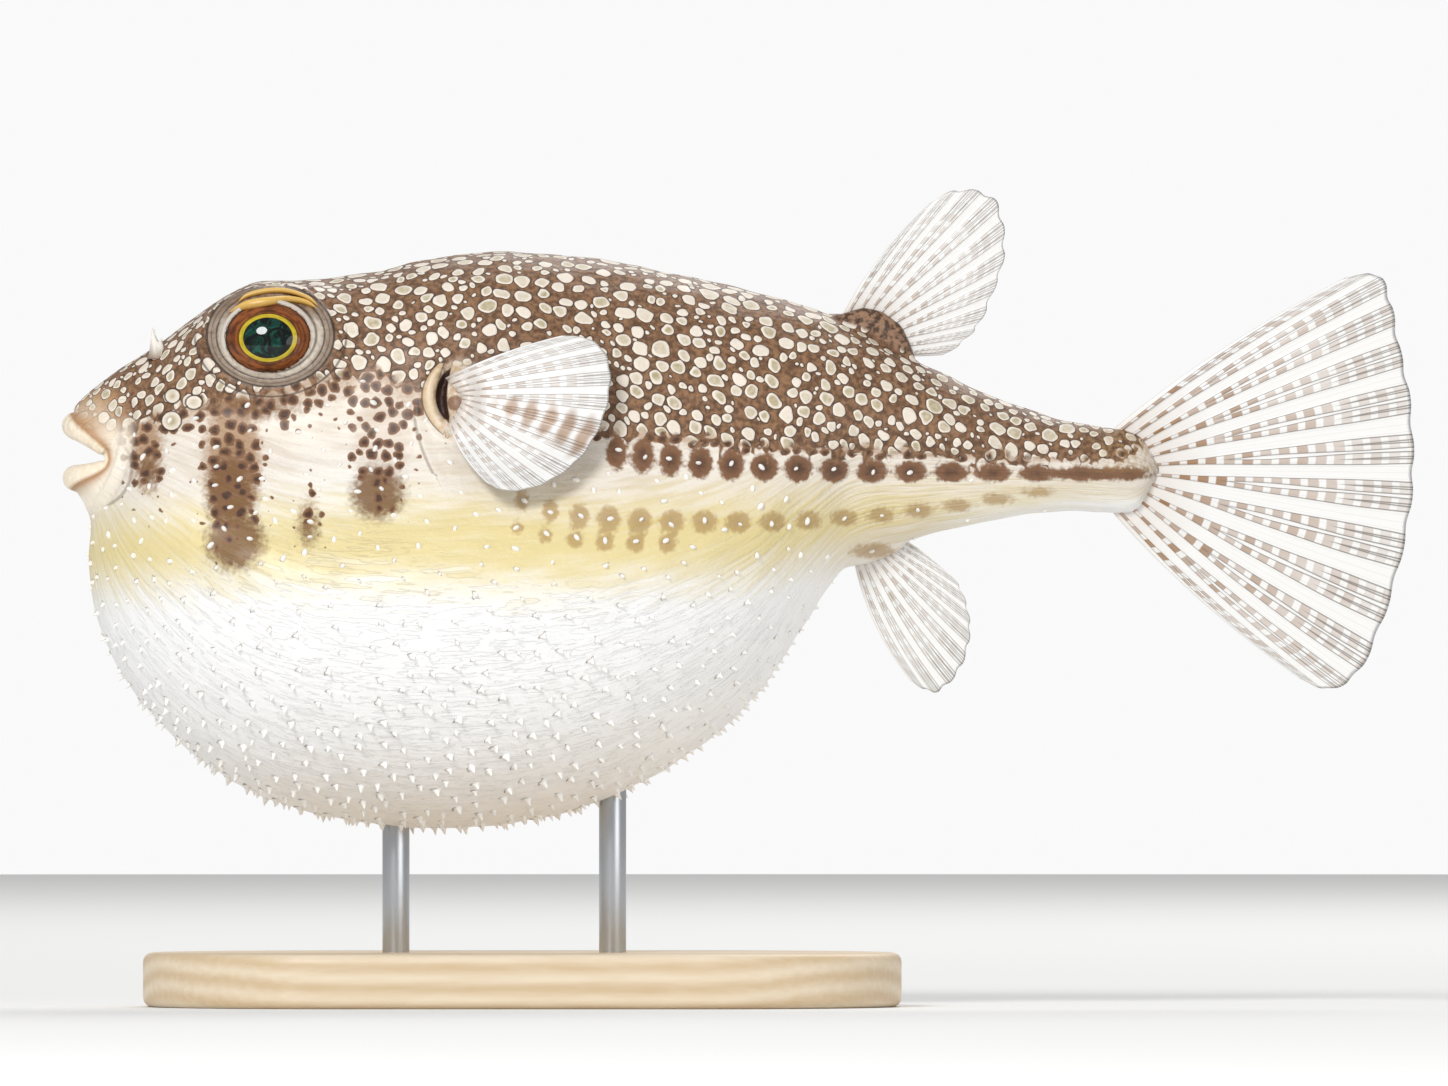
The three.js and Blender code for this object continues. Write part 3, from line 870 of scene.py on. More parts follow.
    def out_at(self, x: float, z: float, side: Side) -> float:
        """Measures how far the skin is from the middle plane.

        Args:
            x: the place along the fish.
            z: its height.
            side: the side that is looked at.

        Returns:
            The distance, or 0 where there is no skin.
        """
        start = Vector((x * MM, 0.2 * side.value, (z + LIFT) * MM))
        hit = self.tree.ray_cast(start, Vector((0, -side.value, 0)))[0]
        return abs(hit.y) / MM if hit else 0.0

    def top_at(self, x: float, y: float) -> float:
        """How high the skin is over a place seen from above."""
        hit = self.tree.ray_cast(Vector((x * MM, y * MM, 0.3)), Vector((0, 0, -1)))[0]
        return hit.z / MM - LIFT if hit else 0.0

    def sample(self, row: Array, column: Array, grid: Array) -> Array:
        """Reads a grid of numbers between its points.

        Args:
            row: places along the rows.
            column: places along the columns.
            grid: the numbers as [row, column] or [row, column, axis].

        Returns:
            One value for each place.
        """
        low_row, low_column = row.astype(int), column.astype(int)
        a, b = row - low_row, column - low_column
        if grid.ndim == 3:
            a, b = a[:, None], b[:, None]
        top = grid[low_row, low_column] * (1 - b) + grid[low_row, low_column + 1] * b
        low = grid[low_row + 1, low_column] * (1 - b) + grid[low_row + 1, low_column + 1] * b
        return top * (1 - a) + low * a


@dataclass
class Prickles:
    """The small white spines of the blown-up belly, with splayed feet."""

    skin: Skin
    seed: int = 7
    tries: int = 60000
    sides: int = 9
    patch: float = 0.003
    lean: Spot3 = (0.22, 0.0, -0.12)
    levels: tuple[float, ...] = (-0.14, 0.07, 0.35, 0.72, 1.0)
    apart: tuple[Spot2, ...] = ((0.0, 2.6), (8.0, 2.8), (22.0, 3.2), (30.0, 3.9), (42.0, 4.4))

    def spine(self, arms: float, widths: tuple[float, ...]) -> tuple[Array, Array]:
        """Makes one spine, 1 high and about 1 across its feet.

        Args:
            arms: how far its three feet splay out.
            widths: its half widths from foot to tip.

        Returns:
            Its corners, and its faces as three of their numbers each.
        """
        shape = bmesh.new()
        bmesh.ops.create_cone(shape, cap_ends=True, segments=self.sides, radius1=1.0, radius2=0.5, depth=1.0)
        upright = [edge for edge in shape.edges if abs(edge.verts[0].co.z - edge.verts[1].co.z) > 0.5]
        bmesh.ops.subdivide_edges(shape, edges=upright, cuts=len(self.levels) - 2, use_grid_fill=True)
        levels = np.linspace(-0.5, 0.5, len(self.levels))
        tips = [vert for vert in shape.verts if vert.co.z > 0.49]
        for vert in shape.verts:
            turn = math.atan2(vert.co.y, vert.co.x)
            level = vert.co.z
            wide = float(np.interp(level, levels, widths))
            foot = smooth(np.array(-level), 0.05, 0.5)
            wide *= 1 + float(foot) * arms * math.cos(turn * 3)
            height = float(np.interp(level, levels, self.levels))
            vert.co = (wide * math.cos(turn), wide * math.sin(turn), height)
        bmesh.ops.pointmerge(shape, verts=tips, merge_co=(0.0, 0.0, self.levels[-1]))
        bmesh.ops.triangulate(shape, faces=shape.faces)
        corners = np.array([vert.co for vert in shape.verts])
        faces = np.array([[vert.index for vert in face.verts] for face in shape.faces])
        shape.free()
        return corners, faces

    def wanted(self, x: Array, z: Array, net: Array) -> tuple[Array, Array]:
        """How far apart the spines stand and how tall they are at each place.

        Args:
            x: places along the fish.
            z: heights.
            net: how far inside the brown net each place is.

        Returns:
            The spacing and the height, in millimetres.
        """
        spacing = np.interp(z, *np.array(self.apart).T)
        spacing = np.where((net > -1.0) | (x > 34.0), FAR, spacing)
        tall = 0.3 + 0.14 * smooth(z, 36.0, 24.0) + 0.36 * smooth(z, 30.0, 4.0)
        behind = smooth(x, 6.0, 16.0)
        return spacing * (1 + 1.2 * behind), tall * (1 - 0.35 * behind)

    def marked(self) -> Array:
        """Finds where a blotch has a bump in its middle.

        Returns:
            The row and column on the skin's layout for each blotch and side.
        """
        marks = self.skin.markings.dark_row()[1:] + self.skin.markings.ochre_rows()
        points = self.skin.points
        found = []
        for mark in marks:
            for side in Side:
                off = np.hypot(points[..., 0] - mark.x, points[..., 2] - LIFT - mark.z)
                off += np.where(points[..., 1] * side.value > 1.0, 0.0, FAR)
                found.append(np.unravel_index(np.argmin(off), off.shape))
        return np.array(found, float)

    def places(self) -> tuple[Array, Array, Array]:
        """Chooses where the spines stand.

        Returns:
            Rows and columns on the skin's layout, and heights.
        """
        dice = np.random.default_rng(self.seed)
        points = self.skin.points
        first = self.skin.mouth.inner_rings + self.skin.mouth.lip_rings + 8
        row = dice.uniform(first, len(points) - 4.0, self.tries)
        column = dice.uniform(0, points.shape[1] - 1.001, self.tries)
        along = np.linalg.norm(np.gradient(points, axis=0), axis=2)
        around = np.linalg.norm(np.gradient(points, axis=1), axis=2)
        area = self.skin.sample(row, column, along * around)
        keep = dice.uniform(0, 1, self.tries) * np.quantile(area, 0.98) < area
        marked = self.marked()
        row = np.concatenate([marked[:, 0], row[keep]])
        column = np.concatenate([marked[:, 1], column[keep]])
        spot = self.skin.sample(row, column, points)
        gill = ("slit", "flap", "shoulder")
        values = self.skin.values
        read = {name: self.skin.sample(row, column, values[name]) for name in ("net", "orbit", *gill)}
        spacing, tall = self.wanted(spot[:, 0], spot[:, 2] - LIFT, read["net"])
        good = (read["orbit"] > 1.35) & (spacing < FAR / 2)
        for name in gill:
            good &= read[name] < -0.3
        taken: dict[tuple[int, int, int], list[int]] = {}
        good[: len(marked)] = spot[: len(marked), 0] < 20.0
        spacing[: len(marked)] = 0.0
        loose = dice.uniform(0.5, 1.0, len(row))
        chosen = []
        for k in np.flatnonzero(good):
            cell = tuple((spot[k] // 4).astype(int))
            near = [
                other
                for i in (-1, 0, 1) for j in (-1, 0, 1) for n in (-1, 0, 1)
                for other in taken.get((cell[0] + i, cell[1] + j, cell[2] + n), ())
            ]
            if near and np.min(np.linalg.norm(spot[near] - spot[k], axis=1)) < spacing[k] * loose[k]:
                continue
            taken.setdefault(cell, []).append(k)
            chosen.append(k)
        chosen = np.array(chosen)
        return row[chosen], column[chosen], tall[chosen] * dice.uniform(0.8, 1.25, len(chosen))

    def build(self, material: bpy.types.Material) -> None:
        """Plants the spines and joins them into one piece.

        Args:
            material: the skin's finish, whose marks they share.
        """
        row, column, tall = self.places()
        dice = np.random.default_rng(self.seed + 1)
        spot = self.skin.sample(row, column, self.skin.points)
        normal = self.skin.sample(row, column, self.skin.outward)
        axis = normal + (np.array(self.lean) + dice.normal(0, 0.1, (len(row), 3)))
        axis /= np.linalg.norm(axis, axis=1)[:, None]
        side = np.cross(axis, dice.normal(0, 1, (len(row), 3)))
        side /= np.linalg.norm(side, axis=1)[:, None]
        other = np.cross(axis, side)
        sharp, faces = self.spine(0.45, (1.0, 0.68, 0.42, 0.22, 0.02))
        round_, _ = self.spine(0.0, (1.0, 0.96, 0.84, 0.56, 0.1))
        wide = ((0.2 + 0.36 * tall) * dice.uniform(0.8, 1.25, len(row)))[:, None, None]
        blunt = smooth(spot[:, 2] - LIFT, 27.0, 31.0)[:, None, None]
        oval = np.array([1.0, 1.0, 1.0]) + np.array([0.3, -0.2, 0.0]) * blunt
        forms = (sharp[None] * (1 - blunt) + round_[None] * blunt) * oval
        body = (
            forms[..., :1] * side[:, None, :] * wide
            + forms[..., 1:2] * other[:, None, :] * wide
            + forms[..., 2:] * axis[:, None, :] * tall[:, None, None]
        )
        verts = ((spot[:, None, :] + body) * MM).reshape(-1, 3)
        shift = np.arange(len(row))[:, None, None] * len(sharp)
        mesh = bpy.data.meshes.new("prickles")
        mesh.from_pydata(verts.tolist(), [], (faces[None] + shift).reshape(-1, 3).tolist())
        carried = {
            name: np.repeat(self.skin.sample(row, column, grid), len(sharp))
            for name, grid in self.skin.values.items()
        }
        carried["tip"] = np.tile(smooth(sharp[:, 2], -0.1, 0.14), len(row)) + 0.02
        for name, numbers in carried.items():
            mesh.attributes.new(name, "FLOAT", "POINT").data.foreach_set("value", numbers)
        layout = mesh.uv_layers.new(name="OFBake")
        rows, columns = self.skin.points.shape[0] - 1, self.skin.points.shape[1] - 1
        root = np.stack([row / rows, column / columns], axis=1)
        flat = root[:, None, :] + sharp[None, :, :2] * self.patch / 2
        corners = np.zeros(len(mesh.loops), int)
        mesh.loops.foreach_get("vertex_index", corners)
        layout.data.foreach_set("uv", flat.reshape(-1, 2)[corners].ravel())
        place("prickles", mesh, material, "spotted_back")


# ---- lids and nostrils


@dataclass
class Lid:
    """One golden fold over the eye, as places and half heights from the eye's middle."""

    name: str
    line: tuple[Spot3, ...]
    swell: float = 0.55
    window: int = 9
    steps: int = 48
    turns: int = 16

    def build(self, eye: Eye, skin: Skin, side: Side, material: bpy.types.Material) -> None:
        """Makes the fold on one side.

        Args:
            eye: the eye that it lies over.
            skin: the skin that it grows from.
            side: which side it is on.
            material: its finish.
        """
        line = through(self.line, np.linspace(0.0, 1.0, self.steps + 1))
        out = []
        for dx, dz, _ in line:
            ball = float(eye.front(np.array([eye.x + dx]), np.array([eye.z + dz]))[0])
            out.append(max(ball, skin.out_at(eye.x + dx, eye.z + dz, side)))
        window = np.ones(self.window) / self.window
        out = np.convolve(np.pad(out, self.window // 2, mode="edge"), window, mode="valid")
        way = np.gradient(line[:, :2], axis=0)
        way /= np.linalg.norm(way, axis=1)[:, None]
        turn = np.linspace(0.0, 2 * np.pi, self.turns + 1)
        half = line[:, 2:].clip(0.02)
        reach_up = half * np.cos(turn)[None, :]
        reach_out = np.minimum(half * 1.1, self.swell) * np.sin(turn)[None, :]
        x = eye.x + line[:, :1] - way[:, 1:] * reach_up
        z = eye.z + line[:, 1:2] + way[:, :1] * reach_up + LIFT
        y = side.value * (out[:, None] + 0.08 + reach_out)
        values = {"ridge": np.repeat(np.cos(turn)[None, :], self.steps + 1, axis=0)}
        shape = bent_grid(np.stack([x, y, z], axis=2), values, capped=True)
        place(f"{self.name}_{side.name.lower()}", shape, material, "eye")


@dataclass
class Rim:
    """The thin fold of skin that holds the eyeball."""

    reach: float = 1.035
    wide: float = 0.34
    deep: float = 0.26
    steps: int = 128
    turns: int = 12

    def build(self, eye: Eye, side: Side, material: bpy.types.Material) -> None:
        """Makes the fold round one eye.

        Args:
            eye: the eye that it holds.
            side: which eye it is.
            material: its finish.
        """
        about = np.linspace(0.0, 2 * np.pi, self.steps + 1)[:, None]
        turn = np.linspace(0.0, 2 * np.pi, self.turns + 1)[None, :]
        grow = self.reach + self.wide * np.cos(turn) / (eye.wide + eye.tall) * 2
        dx, dz = eye.wide * np.cos(about), eye.tall * np.sin(about)
        out = eye.front(eye.x + dx * self.reach, eye.z + dz * self.reach)
        y = side.value * (out + 0.05 + self.deep * np.sin(turn))
        points = np.stack([eye.x + dx * grow, y, eye.z + dz * grow + LIFT], axis=2)
        values = {"ridge": np.repeat(np.cos(turn), self.steps + 1, axis=0)}
        place(f"eye_rim_{side.name.lower()}", bent_grid(points, values), material, "eye")


@dataclass
class Nostril:
    """A short white nasal flap, folded like a scoop with two points."""

    x: float = -64.3
    y: float = 4.4
    foot: float = 0.95
    front_tip: float = 2.9
    back_tip: float = 1.7
    notch: float = 0.9
    lean: float = 0.07
    splay: float = 0.075
    wall: float = 0.16
    turns: int = 40
    steps: int = 10

    def build(self, skin: Skin, side: Side, material: bpy.types.Material) -> None:
        """Makes the flap on one side.

        Args:
            skin: the skin that it stands on.
            side: which side it is on.
            material: its finish.
        """
        ground = skin.top_at(self.x, self.y * side.value)
        turn = np.linspace(0.0, 2 * np.pi, self.turns + 1)[:, None]
        front = (1 + np.cos(turn)) / 2
        tall = self.back_tip + (self.front_tip - self.back_tip) * front
        tall = tall - self.notch * np.abs(np.sin(turn)) ** 1.6
        outer = np.linspace(0.0, 1.0, self.steps + 1)[None, :]
        inner = outer[:, -2::-1]
        rise = np.concatenate([outer, inner * 0.9 + 0.08], axis=1)
        wall = np.concatenate([np.zeros_like(outer), np.full_like(inner, self.wall)], axis=1)
        radius = self.foot * (1 - 0.55 * rise**1.2) * (1 + 0.25 * (1 - rise) ** 3) - wall
        squeeze = 1 - 0.45 * rise
        height = tall * rise - 0.7 * (1 - rise)
        x = self.x - np.cos(turn) * radius - self.lean * height
        y = (self.y + self.splay * height) * side.value + np.sin(turn) * radius * squeeze
        z = ground + height + LIFT
        values = {
            name: np.repeat(row, self.turns + 1, axis=0)
            for name, row in (("inner", wall / self.wall), ("rise", rise))
        }
        shape = bent_grid(np.stack([x, y, z], axis=2), values, capped=True)
        name = f"nostril_{side.name.lower()}"
        place(name + "_flap", shape, material, "spotted_back", name)


# ---- fins


@dataclass(frozen=True)
class Fin:
    """A fan of branching rays under thin skin."""

    name: str
    root: tuple[Spot2, ...]
    rim: tuple[Spot2, ...]
    rays: int
    sink: float
    thick: float
    bars: float
    strength: float
    blush: float = 0.3
    scallop: float = 0.3
    belt: float = 0.0
    bow: Spot2 = (0.0, 0.0)
    line_width: float = 0.06
    web: float = 0.13
    thinning: float = 0.72
    across_steps: int = 16
    out_steps: int = 56

    def branches(self, across: Array, out: Array) -> Array:
        """How far each place is from the nearest branch of a ray, as a share of the ray's width.

        Args:
            across: shares from the first ray's edge to the last's.
            out: shares from the root to the rim.

        Returns:
            The distance as [across, out].
        """
        off = np.abs(np.mod(across * self.rays, 1.0) - 0.5)[:, None]
        for start, end, apart in FORKS:
            off = np.abs(off - apart * smooth(out, start, end)[None, :])
        return off

    def build(self, lean: Callable[[Array, Array, Array], Array] | None = None) -> None:
        """Makes the fin and hands it to the frame.

        Args:
            lean: turns x, z and reach into the distance from the middle plane, where that isn't 0.
        """
        wide = self.rays * self.across_steps
        across = np.linspace(0.0, 1.0, wide + 1)
        out = np.linspace(0.0, 1.0, self.out_steps + 1)
        root, rim = through(self.root, across), through(self.rim, across)
        way = rim - root
        length = np.linalg.norm(way, axis=1, keepdims=True)
        notch = np.abs(np.cos(np.pi * self.rays * across))[:, None] ** 3
        tip = rim - way / length * notch * self.scallop
        start = root - way / length * self.sink
        flat = start[:, None, :] + (tip - start)[:, None, :] * out[None, :, None]
        aside = np.stack([-way[:, 1], way[:, 0]], axis=1) / length
        aside *= np.sign(aside[0] @ (rim[0] - rim[wide // 2]))
        swing = np.interp(across, [0.0, 0.5, 1.0], [self.bow[0], 0.0, -self.bow[1]])
        flat += (aside * swing[:, None])[:, None, :] * (4 * out * (1 - out))[None, :, None]
        ridge = smooth(self.branches(across, out), 0.15, 0.02)
        edge = np.minimum(1.0, np.minimum(across, 1 - across) * wide / 5)[:, None] ** 0.5
        taper = edge * (1 - out[None, :] ** 12)
        half = taper * (self.web + self.thick * 0.5 * ridge * (1 - self.thinning * out[None, :]))
        x, z = flat[..., 0], flat[..., 1]
        middle = lean(x, z, out[None, :]) if lean else np.zeros_like(half)
        front, back = (np.stack([x, y, z + LIFT], axis=2) for y in (middle - half, middle + half))
        both = np.concatenate([front, back[-2::-1]], axis=0)
        shares = np.concatenate([across, across[-2::-1]])
        values = {
            "ray": np.repeat(shares[:, None], self.out_steps + 1, axis=1),
            "reach": np.repeat(out[None, :], len(shares), axis=0),
        }
        shape = bent_grid(both, values)
        bmesh.ops.remove_doubles(shape, verts=shape.verts, dist=2e-6)
        bmesh.ops.recalc_face_normals(shape, faces=shape.faces)
        line_share = self.line_width * self.rays / np.sum(np.linalg.norm(np.diff(rim, axis=0), axis=1))
        finish = FinFinish(self.rays, self.bars, self.strength, self.blush, self.belt, float(line_share))
        place(self.name + "_skin", shape, finish.material(), "fin", self.name)


# ---- finishes


@dataclass(frozen=True)
class SpotLayer:
    """One size of pale spots: the grid they sit on, their least and greatest radius and olive tone."""

    cell: float
    small: float
    large: float
    olive: float


@dataclass
class Paint:
    """A material in the making, called after the real stuff, with its colour so far."""

    name: str
    colour: object = None
    material: bpy.types.Material = field(init=False)
    tree: bpy.types.NodeTree = field(init=False)
    node: Callable[..., bpy.types.Node] = field(init=False)

    def __post_init__(self) -> None:
        """Starts the material."""
        self.material = bpy.data.materials.new(self.name)
        self.material.use_nodes = True
        self.tree = self.material.node_tree
        self.node = partial(add, self.tree)

    def blend(
        self, under: object, value: object, start: float, full: float, over: object, most: float = 1.0,
        **settings: object,
    ) -> bpy.types.Node:
        """Lays one colour over another as a value goes from start to full, up to a share of most."""
        share = self.node("MapRange", value, start, full, 0.0, most, **settings)
        return self.node("Mix", share, under, over)

    def cover(self, *blend: object, **settings: object) -> None:
        """Lays a colour over the one so far, as blend does."""
        self.colour = self.blend(self.colour, *blend, **settings)

    def mix(self, share: object, over: object) -> None:
        """Lays a colour over the one so far by a share of it."""
        self.colour = self.node("Mix", share, self.colour, over)

    def finish(self, sockets: dict[str, object]) -> bpy.types.Material:
        """Fills the sockets of the shader.

        Args:
            sockets: what goes into each besides the colour, by name, as fill takes it.

        Returns:
            The finished material.
        """
        shader = self.tree.nodes["Principled BSDF"].inputs
        filled = {"Base Color": self.colour} | sockets
        fill(self.tree, [(shader[name], value) for name, value in filled.items()])
        return self.material


@dataclass(frozen=True)
class SkinFinish:
    """Moist fish skin: a brown net round pale spots above, cream with brown marks below."""

    cream: str = "#e7dfd3"
    cream_dark: str = "#bfab95"
    belly: str = "#f6f6f6"
    # Painted shade in the grooves of the belly's pleats.
    pleat: str = "#a9a9ad"
    pale: str = "#ebe0d2"
    olive: str = "#aa9d78"
    net_light: str = "#946f50"
    net_dark: str = "#5e422d"
    peach: str = "#c79c70"
    rim: str = "#38251a"
    blotch: str = "#805b40"
    blotch_deep: str = "#4d3527"
    smudge: str = "#785430"
    bar: str = "#a3794f"
    ochre: str = "#a8854f"
    ochre_deep: str = "#8a6640"
    yellow: str = "#dfcd8c"
    lobe: str = "#94735a"
    lobe_dark: str = "#4a3426"
    lip: str = "#f2e0c2"
    lip_light: str = "#fbf1e0"
    # Painted shade where the lips roll into the mouth and into the face.
    lip_crease_shade: str = "#b68c64"
    ring: str = "#8b7763"
    ring_light: str = "#c6baab"
    ring_outer: str = "#86715f"
    # Painted shade in the creases round the eye and along the gill flap's edge.
    crease_shade: str = "#382d26"
    flap: str = "#cfb08a"
    # Painted highlight along the middle of the gill flap.
    flap_highlight: str = "#e6d2b4"
    # Painted shade in the gill slit.
    slit: str = "#3a241a"
    # Painted shade along the folds behind the gill and the jaw.
    fold: str = "#7a6a5c"
    # Painted shade inside the mouth, darkest down the throat.
    throat: str = "#6b3a30"
    spine: str = "#f7f5f1"
    # Painted shade round the foot of each spine.
    spine_foot_shade: str = "#b3aaa0"
    layers: tuple[SpotLayer, ...] = (
        SpotLayer(2.2, 0.6, 1.3, 1.0),
        SpotLayer(1.3, 0.42, 0.8, 0.6),
        SpotLayer(0.85, 0.2, 0.45, 0.0),
    )
    scatter: float = 0.6
    least: float = 0.18
    gap: float = 0.12
    rim_width: float = 0.16
    grain_per_mm: float = 1.7
    dot_cell: float = 1.5
    dot_most: float = 0.66
    streaks_round: float = 95.0
    streaks_along: float = 0.16
    relief: float = 0.0005
    crease_under: float = 1.1
    marks: tuple[str, ...] = (
        "net", "band", "blotch", "ochre", "bars", "smudge", "orbit", "over", "lip", "crease", "inside",
        "lay_u", "lay_v", "around", "flap", "slit", "shoulder", "tip", "muzzle", "fringe", "level",
        "length", "pearl", "mole", "fold", "lobe",
    )
    # Each crease round the eye, darkened with painted shade: its radius and half width in eye sockets, and
    # its strength.
    creases: tuple[Spot3, ...] = (
        (0.72, 0.02, 0.7), (0.85, 0.015, 0.8), (0.93, 0.01, 0.5), (1.0, 0.018, 0.9), (1.19, 0.018, 0.7),
    )

    @cached_property
    def paint(self) -> Paint:
        """The material in the making."""
        return Paint("moist pufferfish skin")

    @cached_property
    def mark(self) -> dict[str, bpy.types.NodeSocket]:
        """What the skin carries at each place, by name."""
        return {name: self.paint.node("Attribute", attribute_name=name).outputs["Fac"] for name in self.marks}

    @cached_property
    def lay(self) -> bpy.types.Node:
        """The place on the unrolled skin, in millimetres."""
        return self.paint.node("CombineXYZ", self.mark["lay_u"], self.mark["lay_v"])

    @cached_property
    def wobble(self) -> bpy.types.Node:
        """A slow noise that bends what lies in neat rows."""
        return self.paint.node("TexNoise", {"Vector": self.lay, "Scale": 0.5, "Detail": 1.0})

    @cached_property
    def shift(self) -> bpy.types.Node:
        """The slow noise as a direction."""
        return self.paint.node("VectorMath.SUBTRACT", self.wobble.outputs["Color"], (0.5, 0.5, 0.5))

    @cached_property
    def where(self) -> bpy.types.NodeSocket:
        """The place in space, in metres."""
        return self.paint.node("TexCoord").outputs["Object"]

    @cached_property
    def fine(self) -> bpy.types.Node:
        """The fine grain of the skin, from 0 to 1."""
        settings = {"Vector": self.where, "Scale": self.grain_per_mm / MM, "Detail": 3.0}
        return self.paint.node("TexNoise", settings, noise_dimensions="3D")

    @cached_property
    def noise(self) -> bpy.types.Node:
        """The fine grain, about 0."""
        return self.paint.node("Math.SUBTRACT", self.fine, 0.5)

    @cached_property
    def grain(self) -> bpy.types.Node:
        """The fine grain with more contrast."""
        return self.paint.node("MapRange", self.fine, 0.32, 0.7)

    @cached_property
    def streak(self) -> bpy.types.Node:
        """Draws the fine grain out along the fish.

        Returns:
            The streaks, from 0 to 1.
        """
        around = self.paint.node("Math.MULTIPLY", self.mark["around"], self.streaks_round)
        along = self.paint.node("Math.MULTIPLY", self.mark["length"], self.streaks_along)
        flow = self.paint.node("CombineXYZ", along, around)
        return self.paint.node("TexNoise", {"Vector": flow, "Scale": 0.9, "Detail": 3.0})

    @cached_property
    def pleats(self) -> bpy.types.Node:
        """Draws thin wavy lines where the stretched belly skin is pleated: they dent the relief and carry
        painted shade.

        Returns:
            How much of a line each place is.
        """
        node = self.paint.node
        bare = node("MapRange", self.mark["net"], -14.0, -20.0)
        pleat = node("Math.MULTIPLY", self.streak, 5.0)
        pleat = node("Math.PINGPONG", pleat, 0.5)
        pleat = node("MapRange", pleat, 0.0, 0.1, 1.0, 0.0)
        return node("Math.MULTIPLY", pleat, bare)

    @cached_property
    def spots(self) -> tuple[bpy.types.Node, bpy.types.Node]:
        """Scatters pale spots of several sizes that never touch.

        Returns:
            The depth inside the nearest spot, in millimetres, and how olive it is.
        """
        node = self.paint.node
        where = node("VectorMath.MULTIPLY_ADD", self.shift, (0.9, 0.9, 0.0), self.lay)
        where = node("VectorMath.MULTIPLY", where, (0.94, 1.03, 0.0))
        depth = tone = None
        for index, layer in enumerate(self.layers):
            grid = {"Vector": where, "Scale": 1 / layer.cell, "Randomness": self.scatter}
            cells = node("TexVoronoi", grid)
            luck = node("SeparateColor", cells.outputs["Color"])
            radius = node("MapRange", luck.outputs[0], 0.0, 1.0, layer.small, layer.large, **LINEAR)
            room = node("TexVoronoi", grid, feature="N_SPHERE_RADIUS")
            room = node("Math.MULTIPLY_ADD", room, layer.cell, -self.gap / 2)
            radius = node("Math.MINIMUM", radius, room)
            for bigger in self.layers[:index]:
                middle = {"Vector": cells.outputs["Position"], "Scale": 1 / bigger.cell}
                far = node("TexVoronoi", grid | middle)
                size = node("SeparateColor", far.outputs["Color"])
                ends = (bigger.small + self.gap, bigger.large + self.gap)
                size = node("MapRange", size.outputs[0], 0.0, 1.0, *ends, **LINEAR)
                away = node("Math.MULTIPLY", far.outputs["Distance"], bigger.cell)
                away = node("Math.SUBTRACT", away, size)
                radius = node("Math.MINIMUM", radius, away)
            present = node("Math.GREATER_THAN", radius, self.least)
            absent = node("Math.MULTIPLY_ADD", present, 9.0, -9.0)
            inside = node("Math.MULTIPLY_ADD", cells.outputs["Distance"], -layer.cell, radius)
            inside = node("Math.ADD", inside, absent)
            olive = node("Math.MULTIPLY", luck.outputs[1], layer.olive)
            if depth is None:
                depth, tone = inside, olive
                continue
            newer = node("Math.GREATER_THAN", inside, depth)
            tone = node("Mix", newer, tone, olive, data_type="FLOAT")
            depth = node("Math.MAXIMUM", depth, inside)
        return depth, tone

    @cached_property
    def spread(self) -> bpy.types.Node:
        """Spreads the net down from the back; it breaks up along its lower edge.

        Returns:
            How far it hides the ground.
        """
        node = self.paint.node
        spread = node("Math.SUBTRACT", self.wobble, 0.5)
        spread = node("Math.MULTIPLY_ADD", spread, 3.0, self.mark["net"])
        between = node("Math.MINIMUM", self.spots[0], 0.0)
        spread = node("Math.MULTIPLY_ADD", between, -2.6, spread)
        return node("MapRange", self.frayed(spread, 1.2), -0.3, 0.7)

    def frayed(self, value: object, amount: float) -> bpy.types.Node:
        """Roughens the edge of a mark by some millimetres."""
        return self.paint.node("Math.MULTIPLY_ADD", self.noise, amount, value)

    def material(self) -> bpy.types.Material:
        """Builds the material from the marks that the skin carries.

        Returns:
            The material.
        """
        # Living fish skin, smoothed by its own slime: a soft wet gloss over colour that lies inside.
        self.ground()
        self.bars()
        self.dots()
        self.back()
        self.stem()
        self.eye_ring()
        self.gill()
        self.lips()
        self.spines()
        node = self.paint.node
        relief = node("MapRange", self.spots[0], -0.15, 0.25, 0.0, 0.35)
        relief = node("Math.MULTIPLY", relief, self.spread)
        for value, height in ((self.pleats, -0.12), (self.fine, 0.25), (self.streak, 0.45)):
            relief = node("Math.MULTIPLY_ADD", value, height, relief)
        bump = node("Bump", {"Height": relief, "Strength": 0.7, "Distance": self.relief})
        wet = {"Roughness": 0.5, "IOR": 1.4, "Coat Weight": 0.12, "Coat Roughness": 0.25}
        return self.paint.finish({"Normal": bump} | wet)

    def ground(self) -> None:
        """Colours the cream flank, its yellow band with ochre blotches, and the pleated white belly with
        painted shade in its pleats.
        """
        paint, node, mark = self.paint, self.paint.node, self.mark
        low = node("MapRange", mark["net"], -6.0, -18.0)
        stem = node("MapRange", mark["length"], 18.0, 30.0)
        under = node("MapRange", mark["level"], 37.2, 35.6)
        under = node("Math.MULTIPLY", stem, under)
        low = node("Math.MAXIMUM", low, under)
        paint.colour = paint.blend(self.cream, self.streak, 0.42, 0.68, self.cream_dark, 0.3)
        paint.mix(low, self.belly)
        yellow = node("Math.SUBTRACT", self.streak, 0.5)
        yellow = node("Math.MULTIPLY_ADD", yellow, 6.0, mark["band"])
        paint.cover(yellow, -3.6, 4.4, self.yellow, 0.9)
        tan = paint.blend(self.ochre, mark["ochre"], 0.4, 1.4, self.ochre_deep, 0.7)
        paint.cover(self.frayed(mark["ochre"], 0.9), -0.15, 0.45, tan, 0.7)
        # Painted shade: the belly's pleats are greyed in their grooves.
        paint.cover(self.pleats, 0.0, 1.0, self.pleat, 0.17, **LINEAR)

